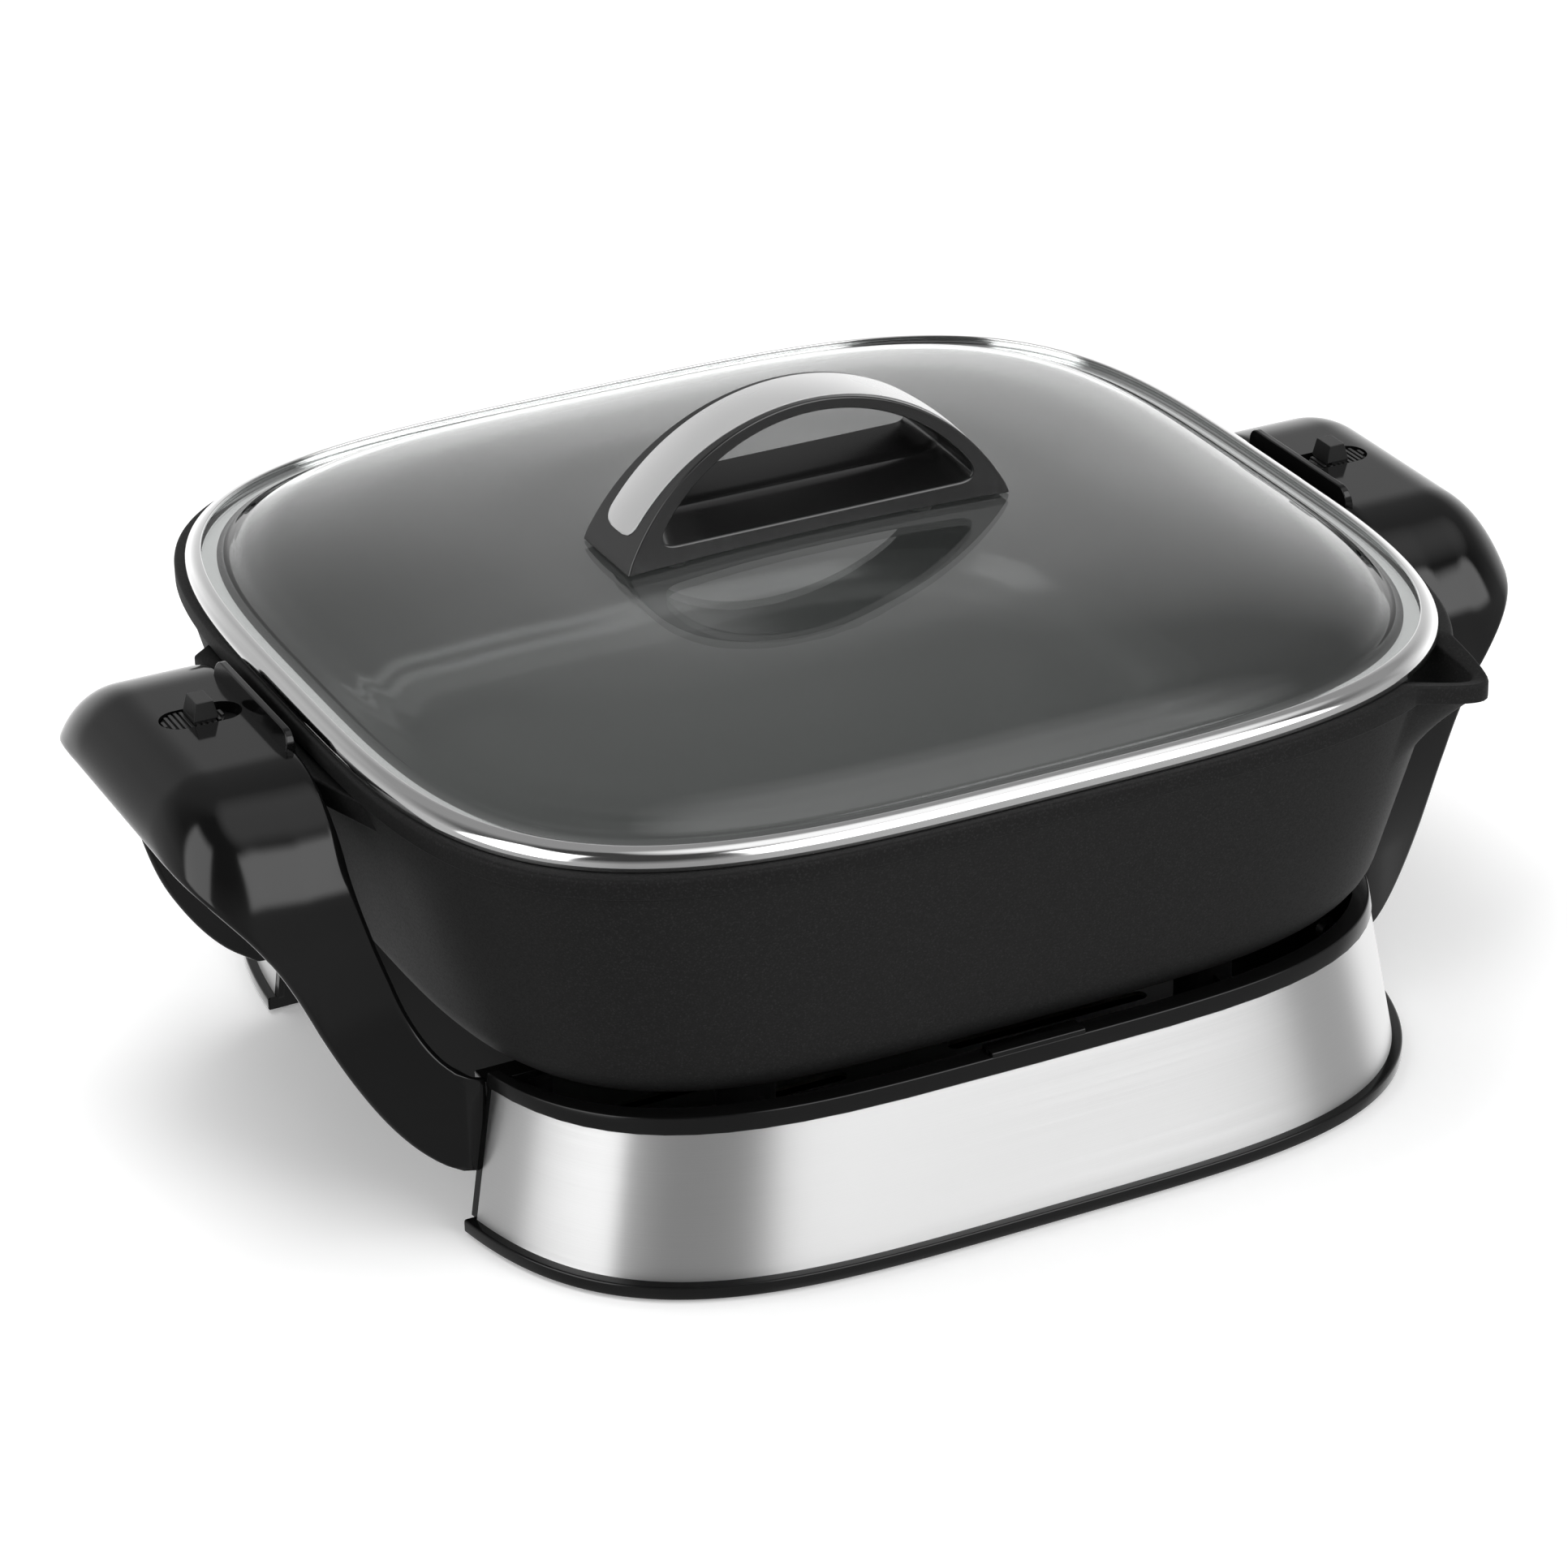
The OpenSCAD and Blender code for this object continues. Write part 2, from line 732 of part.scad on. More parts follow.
module lid_screw_places() {
    for (s = [-1, 1]) translate([s * lid_screw_x, 0, screw_seat]) children();
}

module lid_gaskets() {
    color("#3a3a3c")
        lid_screw_places()
            translate([0, 0, -gasket_t])
                difference() {
                    cylinder(r = 7.5, h = gasket_t);
                    translate([0, 0, -1]) cylinder(r = lid_screw_r + 0.4, h = gasket_t + 2);
                }
}

module lid_washers() {
    color("#b8babc")
        lid_screw_places()
            translate([0, 0, -gasket_t - washer_t])
                difference() {
                    cylinder(r = 6.5, h = washer_t);
                    translate([0, 0, -1]) cylinder(r = lid_screw_r + 0.4, h = washer_t + 2);
                }
}

module lid_screws() {
    color("#c4c5c6")
        lid_screw_places()
            translate([0, 0, -gasket_t - washer_t])
                screw(lid_screw_r, gasket_t + washer_t + glass_t + lid_screw_depth - 1, 4.2, 2.6);
}

// Base

// Half sizes of the panel's outer face at height z
function base_half(z) =
    let (t = (z - panel_z) / panel_h)
    [base_half_x - panel_step - lean_x * t, base_half_y - panel_step - lean_y * t];

// Half width of the panel's foot where a bay ends
function bay_seam(bay) = outline_x(base_half(panel_z), bay, base_square);

module base_solid() {
    back = panel_t + fixed_gap;
    flange = [base_half_x, base_half_y];
    crown = grow(base_half(crown_z), 0.5);
    loft([
        ring(grow(flange, -0.6), base_square, flange_z),
        ring(flange, base_square, flange_z + 0.6),
        ring(flange, base_square, panel_z - 0.8),
        ring(grow(flange, -0.8), base_square, panel_z),
        ring(grow(base_half(panel_z), -back), base_square, panel_z),
        ring(grow(base_half(crown_z), -back), base_square, crown_z),
        ring(crown, base_square, crown_z),
        ring(grow(crown, -0.6), base_square, crown_top - 1.5),
        ring(grow(crown, -2), base_square, crown_top)
    ]);
}

module base_hollow() {
    well = base_half(crown_z) - [crown_w / 2, crown_w];
    loft([
        ring(grow(base_half(panel_z), -skin), base_square, -past),
        ring(grow(base_half(panel_z), -skin), base_square, panel_z),
        ring(grow(base_half(crown_z - 3), -skin), base_square, crown_z - 3),
        ring(well, base_square, crown_z),
        ring(well, base_square, crown_top + past)
    ]);
}

// Bays at both sides, where the handles' legs and the probe go in
module bays(d) {
    for (s = [0, 1]) mirror([s, 0, 0])
        translate([bay_x - d, -bay_front - d, -2 * past])
            cube([base_half_x, bay_length + 2 * d, crown_top + 4 * past]);
}

module posts() {
    four_corners(post_x, post_y) translate([0, 0, post_z]) cylinder(r = post_r, h = post_top - post_z);
    for (sx = [-1, 1], sy = [0, 1])
        mirror([0, sy, 0])
            translate([sx * post_x - base_wall / 2, post_y, panel_z])
                cube([base_wall, base_half_y, crown_z - panel_z - 6]);
}

module rim_tabs() {
    crown = grow(base_half(crown_z), -1.5);
    intersection() {
        difference() {
            loft([
                ring(crown, base_square, crown_z + 1),
                ring(crown, base_square, crown_top + tab_h - 0.5),
                ring(grow(crown, -0.6), base_square, crown_top + tab_h)
            ]);
            base_hollow();
        }
        translate([-tab_w / 2, -base_half_y, crown_z]) cube([tab_w, 2 * base_half_y, crown_h + past]);
    }
}

// Screw places in the end walls of the bays, heads outwards from the bay
module handle_screw_places() {
    for (sx = [-1, 1], z = handle_screw_z) {
        translate([sx * handle_screw_x, -bay_front - base_wall, z]) rotate([-90, 0, 0]) children();
        translate([sx * handle_screw_x, bay_back + base_wall, z]) rotate([90, 0, 0]) children();
    }
}

module base_shell() {
    color("#151516")
        difference() {
            union() {
                difference() {
                    base_solid();
                    bays(0);
                    difference() {
                        base_hollow();
                        bays(base_wall);
                    }
                }
                intersection() {
                    posts();
                    base_solid();
                }
                rim_tabs();
            }
            translate([-bay_x - 11, -bay_front - base_wall - 1, bay_top])
                cube([2 * bay_x + 22, bay_length + 2 * base_wall + 2, past]);
            translate([-well_x, 0, bay_top]) cube([2 * well_x, bay_back + base_wall + 1, past]);
            translate([bay_x - past, -guard_half - 7, guard_top - guard_h - 4])
                cube([2 * past, 2 * guard_half + 14, 2 * past]);
            handle_screw_places() cylinder(r = handle_screw_r + 0.5, h = 4 * base_wall, center = true);
            four_corners(post_x, post_y) {
                translate([0, 0, post_z - 1]) cylinder(r = 1.8, h = 17);
                translate([0, 0, post_top - pad_stem_h - 0.5])
                    cylinder(r = pad_stem_r + fixed_gap, h = pad_stem_h + 1);
            }
        }
}

// Steel panel wrapped round the front bow of the base, up to the bays
module wrapped_panel(bay) {
    low = base_half(panel_z);
    top = base_half(crown_z);
    intersection() {
        loft([
            ring(low, base_square, panel_z),
            ring(top, base_square, crown_z),
            ring(grow(top, -panel_t), base_square, crown_z),
            ring(grow(low, -panel_t), base_square, panel_z)
        ], band = true);
        translate([-base_half_x, -base_half_y, 0])
            cube([2 * base_half_x, base_half_y - bay, crown_top]);
    }
}

module front_panel() {
    color("#c6c8ca") wrapped_panel(bay_front);
}

module rear_panel() {
    color("#c6c8ca") mirror([0, 1, 0]) wrapped_panel(bay_back);
}

module bottom_cover() {
    inset = skin + slide_gap;
    edge = ring(grow(base_half(panel_z), -inset), base_square, 0);
    bay_in = bay_x - base_wall - slide_gap;
    bay_w = bay_length + 2 * (base_wall + slide_gap);
    vent_length = 64;
    vent_w = 5;
    vent_pitch = 14;
    color("#6f7173")
        translate([0, 0, cover_z])
            linear_extrude(cover_t)
                difference() {
                    polygon([for (p = edge) [p[0], p[1]]]);
                    for (s = [-1, 1])
                        translate([s * (bay_in + base_half_x / 2), (bay_back - bay_front) / 2])
                            square([base_half_x, bay_w], center = true);
                    for (sx = [-1, 1], i = [-4 : 4])
                        translate([sx * 48, i * vent_pitch]) stadium(vent_length, vent_w);
                    for (sx = [-1, 1], sy = [-1, 1]) {
                        translate([sx * post_x, sy * post_y]) circle(2.1);
                        translate([sx * foot_x, sy * foot_y]) circle(3.1);
                    }
                }
}

module rubber_feet() {
    color("#2c2c2d")
        four_corners(foot_x, foot_y) {
            cylinder(r1 = foot_r - 0.6, r2 = foot_r, h = 0.6);
            translate([0, 0, 0.6]) cylinder(r = foot_r, h = foot_h - 0.6);
            cylinder(r = 3, h = foot_h + cover_t);
            translate([0, 0, foot_h + cover_t]) cylinder(r1 = 4.2, r2 = 2.4, h = 3);
        }
}

module support_pads() {
    color("#3a3a3c")
        four_corners(post_x, post_y) {
            translate([0, 0, post_top]) cylinder(r = pad_r, h = pad_h);
            translate([0, 0, post_top - pad_stem_h]) cylinder(r = pad_stem_r, h = pad_stem_h);
        }
}

module cover_screws() {
    color("#c4c5c6")
        four_corners(post_x, post_y) translate([0, 0, cover_z]) screw(1.7, 14, 3.6, foot_h - 0.5);
}

module handle_screws() {
    color("#c4c5c6")
        handle_screw_places() screw(handle_screw_r, base_wall + foot_depth - 2, 3.2, 2.4);
}

// Side handles

// Side view of the right handle: foot, leg, deck and rounded outer edge
module handle_side() {
    knee = [handle_in - 8, foot_top + 29];
    hip = [handle_in + 15, foot_low + 50];
    tip = [handle_out + 1, deck_z - curl_r - lip_h];
    polygon(concat(
        [[foot_in, foot_low], [foot_in, foot_top]],
        curve([[seam_x - 6, foot_top], [seam_x + 3, foot_top + 1], knee - [3, 16], knee], 8),
        curve([knee, knee + [4, 14], [handle_in, knee[1] + 24], [handle_in, knee[1] + 38]], 6),
        [[handle_in, deck_z + 1], [handle_out + 1, deck_z + 1]],
        curve([tip, tip + [-13, -11.5], hip + [8, 19], hip], 8),
        curve([hip, hip - [12, 28], [seam_x + 13, foot_low], [seam_x - 5, foot_low]], 10)
    ));
}

// Space inside the handle's shell, seen from the side
module handle_side_hollow() {
    wall_z = deck_z - inner_wall_h;
    polygon(concat(
        [[foot_in - past, -past], [foot_in - past, wall_z], [handle_in + inner_wall, wall_z]],
        [[handle_in + inner_wall, deck_z], [handle_out, deck_z], [handle_out, -past]]
    ));
}

// Half of the handle's plan drawn in by d, running out to a bay's end
function plan_half(bay, d) =
    let (
        seam = bay_seam(bay),
        centre = [handle_out - corner_r, shoulder_end - 3 - corner_r]
    )
    concat(
        [[foot_in - past, bay - d]],
        curve([
            [seam, bay - d],
            [seam + 5, mix(bay, shoulder_end, 0.55) - d],
            [seam + 21, mix(bay, shoulder_end, 0.7) - d],
            centre + [0, corner_r - d]
        ], 8),
        arc(centre, corner_r - d, 82, 0, 7)
    );

module handle_plan(d) {
    polygon(concat(plan_half(bay_back, d), mirrored(plan_half(bay_front, d))));
}

// Section of the handle's rounded block at depth y, dropped by fall and drawn in by d
function block_ring(y, fall, d) =
    let (top = deck_z - d - fall, r = curl_r - d)
    concat(
        [[handle_out - d, y, -past], [foot_in - past, y, -past], [foot_in - past, y, top]],
        [for (a = [0 : 15 : 90]) [handle_out - curl_r + r * sin(a), y, top - r + r * cos(a)]]
    );

// Block with a flat deck that falls away on a curve at both ends and the outer edge
module handle_block(d) {
    r = shoulder_r - d;
    flare = deck_z - foot_top + 10;
    loft(concat(
        [block_ring(-bay_front - past, flare, d)],
        [for (b = [90 : -11.25 : 0]) block_ring(-deck_half - r * sin(b), r - r * cos(b), d)],
        [for (b = [0 : 11.25 : 90]) block_ring(deck_half + r * sin(b), r - r * cos(b), d)],
        [block_ring(bay_back + past, flare, d)]
    ));
}

module handle_body(d) {
    intersection() {
        children();
        translate([0, 0, -2 * past]) linear_extrude(deck_z + 4 * past) handle_plan(d);
        handle_block(d);
    }
}

module latch_places() {
    translate([retainer_screw_x, latch_y, 0])
        for (s = [-1, 1]) translate([0, s * retainer_screw_y, 0]) children();
}

// Right handle; the left one is its mirror image
module side_handle() {
    difference() {
        union() {
            difference() {
                handle_body(0) along_y(-bay_front, back_end) handle_side();
                handle_body(shell) along_y(-bay_front, back_end) handle_side_hollow();
            }
            intersection() {
                handle_body(0) along_y(-bay_front, bay_back) handle_side();
                for (y = [-bay_front, bay_back - foot_depth])
                    translate([foot_in, y, foot_low])
                        cube([seam_x - foot_in + 4, foot_depth, foot_block_h]);
            }
            along_x(handle_in, handle_in + inner_wall)
                translate([0, deck_z]) soft_rectangle(fence_length, 2 * fence_h, 3);
            latch_places() translate([0, 0, retainer_z + retainer_t])
                cylinder(r = boss_r, h = deck_z - 1 - retainer_z - retainer_t);
        }
        translate([(slot_in + slot_out) / 2, latch_y, deck_under - 1])
            linear_extrude(shell + 2) stadium(slot_length, slot_w);
        translate([handle_in - 1, latch_y - tongue_w / 2 - slide_gap, tongue_z - slide_gap])
            cube([inner_wall + 2, tongue_w + 2 * slide_gap, deck_under - tongue_z + slide_gap]);
        latch_places() translate([0, 0, retainer_z])
            cylinder(r = retainer_screw_r + fixed_gap, h = deck_under - retainer_z + 1);
        handle_screw_places() cylinder(r = handle_screw_r + fixed_gap, h = base_wall + foot_depth - 1.5);
    }
}

module right_handle() {
    color("#19191a") side_handle();
}

module left_handle() {
    color("#19191a") on_left() side_handle();
}

// Slide latches

module latch() {
    slider_x = slider_in + slider_length / 2;
    nub_x = slider_in + slider_length / 4;
    nub_w = 8.8;
    nub_half = 3.8;
    nub_draft = 1.4;
    nub_low = deck_z - 1;
    nub_top = deck_z + nub_h;
    ridge_pitch = 1.6;
    translate([carrier_in, latch_y - carrier_w / 2, carrier_z])
        cube([carrier_out - carrier_in, carrier_w, carrier_t]);
    translate([tongue_in, latch_y - tongue_w / 2, tongue_z])
        cube([carrier_in - tongue_in + 1, tongue_w, tongue_t]);
    difference() {
        translate([slider_x, latch_y, carrier_z + carrier_t])
            linear_extrude(deck_z - 0.3 - carrier_z - carrier_t) stadium(slider_length, slider_w);
        for (i = [-5 : 5])
            translate([slider_x + i * ridge_pitch - 0.3, latch_y - slider_w, deck_z - 0.9])
                cube([0.6, 2 * slider_w, 2]);
    }
    difference() {
        intersection() {
            along_y(latch_y - nub_w / 2, latch_y + nub_w / 2)
                polygon([
                    [nub_x - nub_half, nub_low], [nub_x + nub_half, nub_low],
                    [nub_x + nub_half - nub_draft, nub_top], [nub_x - nub_half + nub_draft, nub_top]
                ]);
            along_x(nub_x - nub_half, nub_x + nub_half)
                translate([latch_y, 0])
                    polygon([
                        [-nub_w / 2, nub_low], [nub_w / 2, nub_low],
                        [(nub_w - nub_draft) / 2, nub_top], [(nub_draft - nub_w) / 2, nub_top]
                    ]);
        }
        difference() {
            translate([nub_x - nub_w, latch_y - nub_w, nub_low - 1])
                cube([2 * nub_w, 2 * nub_w, deck_z + slide_gap - nub_low + 1]);
            translate([slider_x, latch_y, nub_low - 2])
                linear_extrude(deck_z - nub_low + 4) stadium(slider_length, slider_w);
        }
    }
}

module right_latch() {
    color("#1b1b1c") latch();
}

module left_latch() {
    color("#1b1b1c") on_left() latch();
}

module retainer() {
    difference() {
        translate([carrier_in, latch_y - retainer_screw_y - 5, retainer_z])
            cube([carrier_out - carrier_in, 2 * retainer_screw_y + 10, retainer_t]);
        latch_places() translate([0, 0, retainer_z - 1])
            cylinder(r = retainer_screw_r + 0.3, h = retainer_t + 2);
    }
}

module right_latch_retainer() {
    color("#9fa1a3") retainer();
}

module left_latch_retainer() {
    color("#9fa1a3") on_left() retainer();
}

module retainer_screws() {
    color("#c4c5c6")
        for (side = [0, 1]) mirror([side, 0, 0])
            latch_places() translate([0, 0, retainer_z])
                screw(retainer_screw_r, deck_under - retainer_z + 0.5, 2.6, 1.8);
}

base_shell();
front_panel();
rear_panel();
bottom_cover();
rubber_feet();
support_pads();
cover_screws();
left_handle();
right_handle();
handle_screws();
left_latch_retainer();
right_latch_retainer();
retainer_screws();
left_latch();
right_latch();
pan();
heating_element();
terminal_pins();
terminal_insulators();
probe_well();
probe_guard();
guard_screws();
lid_glass();
lid_rim();
lid_handle();
handle_inlay();
lid_screws();
lid_washers();
lid_gaskets();
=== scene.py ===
"""Electric skillet: smooth pieces, finishes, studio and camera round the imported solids.

Pieces are drawn in millimetres, in the same frame as the solids, and scaled to metres when they are done.
"""

import json
import math

import bmesh
import bpy
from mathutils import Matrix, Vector


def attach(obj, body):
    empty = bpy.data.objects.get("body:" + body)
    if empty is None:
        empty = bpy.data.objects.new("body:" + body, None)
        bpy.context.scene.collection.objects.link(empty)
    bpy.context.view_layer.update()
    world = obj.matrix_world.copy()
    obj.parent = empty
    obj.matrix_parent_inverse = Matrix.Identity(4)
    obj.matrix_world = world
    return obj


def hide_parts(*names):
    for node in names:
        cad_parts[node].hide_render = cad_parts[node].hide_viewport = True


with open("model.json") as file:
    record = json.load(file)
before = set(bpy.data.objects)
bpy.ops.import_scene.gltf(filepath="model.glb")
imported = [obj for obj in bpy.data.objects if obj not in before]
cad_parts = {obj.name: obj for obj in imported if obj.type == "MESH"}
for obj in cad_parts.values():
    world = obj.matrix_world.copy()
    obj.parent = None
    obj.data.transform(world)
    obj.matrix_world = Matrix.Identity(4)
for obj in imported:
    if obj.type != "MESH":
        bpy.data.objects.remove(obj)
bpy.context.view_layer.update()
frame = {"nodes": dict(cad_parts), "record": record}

MM = 0.001
RING_SEGMENTS = 480

# Sizes of the pan, millimetres
PAN_HALF = (156.2, 151.7)
PAN_SQUARE = 3.9
PAN_TOP = 128.0
PAN_BOTTOM = 48.0
PAN_FLOOR = 53.0
PAN_SLOPE = math.tan(math.radians(13.5))
PAN_WALL = 4.11
PAN_FLAT_INSET = 110.0
PAN_OUTER_R = 20.0
PAN_INNER_R = 18.0
RIM_HEIGHT = 5.5
RIM_LIP = 1.5
RIM_WIDTH = 8.5
SPOUT_ANGLE = math.radians(-45)
SPOUT_SPREAD = math.radians(5.4)
SPOUT_REACH = 12.0
SPOUT_INNER_REACH = 17.5
SPOUT_FALL = 4.2
SPOUT_ROOT_Z = PAN_TOP - 28.0
SPOUT_TIP_SOFT = 0.25
EAR_OUT = 160.3
EAR_TOP = 121.0
EAR_THICK = 7.0

# Sizes of the lid, millimetres
LID_HALF = (155.0, 148.9)
LID_SQUARE = 3.67
BAND_TOP = 133.35
BAND_SHOULDER = 9.5
ROLL_R = 4.0
ROLL_WIDTH = 4.4
BAND_WALL = 2.4
BAND_LIP = 1.05
FLANGE_WIDTH = 8.4
GLASS_Z = 132.15
GLASS_EDGE = 2.6
GLASS_DOME = 62.0
GLASS_TOP = 149.7
GLASS_THICK = 3.3
DOME_R = 1120.0
GRIP_HALF = 58.6
GRIP_END = 150.46
GRIP_TOP = 187.0
GRIP_FOOT_W = 14.6
GRIP_TOP_W = 10.2
GAP_HALF = 50.0
GAP_FLOOR = 154.3
GAP_RISE = 9.6
GAP_TOP = 183.2
INLAY_HALF_W = 8.3
INLAY_SHORT = math.radians(6.0)
INLAY_END_R = 4.5
INLAY_CROWN = 0.4
INLAY_THICK = 1.0

# Sizes of the base, millimetres
BASE_HALF = (144.9, 148.8)
BASE_SQUARE = 3.9
FLANGE_Z = 1.0
PANEL_Z = 4.8
CROWN_Z = 45.8
CROWN_TOP = 51.8
PANEL_STEP = 2.5
PANEL_HEIGHT = 41.0
PANEL_LEAN = (5.5, 8.0)
PANEL_THICK = 0.8
PANEL_MARGIN = 1.6
BAY_FRONT = 78.5
BAY_BACK = 59.0
SKIN = 0.06
RIM_DROP = 2.2
BAY_DROP = 2.0
DROP_FROM_Z = 40.0
POST_MIDDLE = (70.0, 104.0)
POST_R = 8.0
TAB_HALF = 14.0
TAB_HEIGHT = 1.5

# Sizes of the side handles, millimetres
HANDLE_IN = 161.0
HANDLE_OUT = 203.3
DECK_Z = 126.6
DECK_HALF = 26.0
SHOULDER_R = 39.0
SHOULDER_END = 65.0
CURL_R = 17.0
CORNER_R = 20.0
SHELL = 3.0
FOOT_TOP = 44.8
FOOT_LOW = 17.8
FOOT_IN = 118.1
FENCE_HALF = 26.5
FENCE_HEIGHT = 5.0
FENCE_FOOT_W = 3.4
FENCE_TOP_W = 1.9
FENCE_END_R = 4.0
INNER_WALL = 2.5
INNER_WALL_FALL = 38.0
FOOT_THICK = 7.5

# Sizes of the slide latches, millimetres
LATCH_Y = 5.0
SLOT_HALF_W = 5.8
SLOT_OUT = 187.2
SLOT_IN = 164.2
SLIDER_IN = 169.2
SLIDER_OUT = 186.8
CARRIER_IN = 168.5
CARRIER_OUT = 188.8
CARRIER_Z = 120.2
TONGUE_IN = 161.3
TONGUE_Z = 121.4
CARRIER_HALF_W = 7.8
CARRIER_THICK = 3.0
SLIDER_GAP = 0.4
NUB_PLACE = 0.36
NUB_HALF = (3.6, 4.3)
NUB_TAPER = (1.2, 0.6)
NUB_HEIGHT = 5.4
RIDGE_PITCH = 1.6


# Drawing tools

def mix(a, b, t):
    return a + (b - a) * t


def ease(t):
    t = min(max(t, 0.0), 1.0)
    return t * t * (3 - 2 * t)


def rounded_square(half, square, angle):
    """Point of a rounded square outline in one direction from its middle."""
    c = math.cos(angle)
    s = math.sin(angle)
    reach = (abs(c / half[0]) ** square + abs(s / half[1]) ** square) ** (-1 / square)
    return reach * c, reach * s


def shrunk(half, inset):
    return half[0] - inset, half[1] - inset


def bezier(p, t):
    u = 1 - t
    weights = (u ** 3, 3 * u * u * t, 3 * u * t * t, t ** 3)
    return tuple(sum(w * q[k] for w, q in zip(weights, p)) for k in range(len(p[0])))


def bezier_at_height(p, z):
    """First coordinate of a falling or rising cubic curve at height z."""
    low, high = 0.0, 1.0
    rising = p[3][1] > p[0][1]
    for _ in range(40):
        t = (low + high) / 2
        if (bezier(p, t)[1] < z) == rising:
            low = t
        else:
            high = t
    return bezier(p, (low + high) / 2)[0]


def filleted(corners, steps=5):
    """Profile through corners (inset, height, radius, extras...), each one rounded off by its radius."""
    line = []
    for i, corner in enumerate(corners):
        here = Vector(corner[:2])
        radius = corner[2]
        extras = corner[3:]
        if radius == 0 or i in (0, len(corners) - 1):
            line.append((*here, *extras))
            continue
        back = (Vector(corners[i - 1][:2]) - here).normalized()
        ahead = (Vector(corners[i + 1][:2]) - here).normalized()
        half_turn = back.angle(ahead) / 2
        run = radius / math.tan(half_turn)
        centre = here + (back + ahead).normalized() * radius / math.sin(half_turn)
        start = here + back * run - centre
        end = here + ahead * run - centre
        sweep = start.angle_signed(end)
        for k in range(steps + 1):
            turn = sweep * k / steps
            c, s = math.cos(turn), math.sin(turn)
            spoke = Vector((start.x * c + start.y * s, start.y * c - start.x * s))
            line.append((*(centre + spoke), *extras))
    return line


def ring_stack(stations, place, segments=RING_SEGMENTS, closed=False, caps=True):
    """Rings drawn up from one circle, each vertex then moved to place(angle, station)."""
    bm = bmesh.new()
    bmesh.ops.create_circle(bm, segments=segments, radius=1)
    first = bm.edges[:]
    edges = first
    for _ in stations[1:]:
        made = bmesh.ops.extrude_edge_only(bm, edges=edges)["geom"]
        verts = [g for g in made if isinstance(g, bmesh.types.BMVert)]
        fresh = set(verts)
        edges = [g for g in made if isinstance(g, bmesh.types.BMEdge) and set(g.verts) <= fresh]
        bmesh.ops.translate(bm, verts=verts, vec=(0, 0, 1))
    share = bm.verts.layers.float.new("share")
    for v in bm.verts:
        step = round(v.co.z)
        v[share] = step / (len(stations) - 1)
        v.co = place(math.atan2(v.co.y, v.co.x), stations[step])
    if closed:
        bmesh.ops.bridge_loops(bm, edges=first + edges)
    elif caps:
        bmesh.ops.holes_fill(bm, edges=first, sides=0)
        bmesh.ops.holes_fill(bm, edges=edges, sides=0)
    return bm


def sheet(columns, rows, place):
    """Grid whose vertices are moved to place(u, v), with u and v from 0 to 1."""
    bm = bmesh.new()
    bmesh.ops.create_grid(bm, x_segments=columns, y_segments=rows, size=0.5)
    for v in bm.verts:
        v.co = place(v.co.x + 0.5, v.co.y + 0.5)
    return bm


def add_uv(bm, unwrap):
    """UV map from each vertex's place in millimetres."""
    layer = bm.loops.layers.uv.new("along")
    for face in bm.faces:
        for loop in face.loops:
            loop[layer].uv = unwrap(loop.vert.co)


def add_object(name, data):
    obj = bpy.data.objects.new(name, data)
    bpy.context.scene.collection.objects.link(obj)
    return obj


def mesh_from(name, bm):
    mesh = bpy.data.meshes.new(name)
    bm.to_mesh(mesh)
    bm.free()
    return mesh


def piece(name, bm, body, slot, *nodes, sharp=35, outwards=True):
    """Object from a drawn piece: on its body, in its finish, in place of its solids."""
    bmesh.ops.remove_doubles(bm, verts=bm.verts, dist=0.0005)
    if outwards:
        bmesh.ops.recalc_face_normals(bm, faces=bm.faces)
    bmesh.ops.scale(bm, vec=(MM, MM, MM), verts=bm.verts)
    mesh = mesh_from(name, bm)
    mesh.shade_smooth()
    mesh.set_sharp_from_angle(angle=math.radians(sharp))
    mesh.materials.append(FINISHES[slot])
    obj = add_object(name, mesh)
    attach(obj, body)
    if nodes:
        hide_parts(*nodes)
    return obj


def round_edges(obj, width, segments=3, angle=35):
    bevel = obj.modifiers.new("rounded edges", "BEVEL")
    bevel.width = width * MM
    bevel.segments = segments
    bevel.limit_method = "ANGLE"
    bevel.angle_limit = math.radians(angle)
    bevel.harden_normals = True


# Finishes

def group(name, inputs, outputs):
    """Empty shader group with its sockets, and its two end nodes."""
    tree = bpy.data.node_groups.new(name, "ShaderNodeTree")
    for label, kind, value in inputs:
        socket = tree.interface.new_socket(label, in_out="INPUT", socket_type=kind)
        if value is not None:
            socket.default_value = value
    for label, kind in outputs:
        tree.interface.new_socket(label, in_out="OUTPUT", socket_type=kind)
    return tree, tree.nodes.new("NodeGroupInput"), tree.nodes.new("NodeGroupOutput")


def settle(node, values):
    """Plain values on a node's inputs."""
    for label, value in values.items():
        node.inputs[label].default_value = value


def maths(tree, operation, a, b):
    node = tree.nodes.new("ShaderNodeMath")
    node.operation = operation
    tree.links.new(a, node.inputs[0])
    tree.links.new(b, node.inputs[1])
    return node.outputs[0]


def vector_maths(tree, operation, a, b=(0.0, 0.0, 0.0)):
    """One vector worked with another, which may be a socket or plain numbers."""
    node = tree.nodes.new("ShaderNodeVectorMath")
    node.operation = operation
    tree.links.new(a, node.inputs[0])
    if isinstance(b, tuple):
        node.inputs[1].default_value = b
    else:
        tree.links.new(b, node.inputs[1])
    return node.outputs["Value" if operation == "DOT_PRODUCT" else "Vector"]


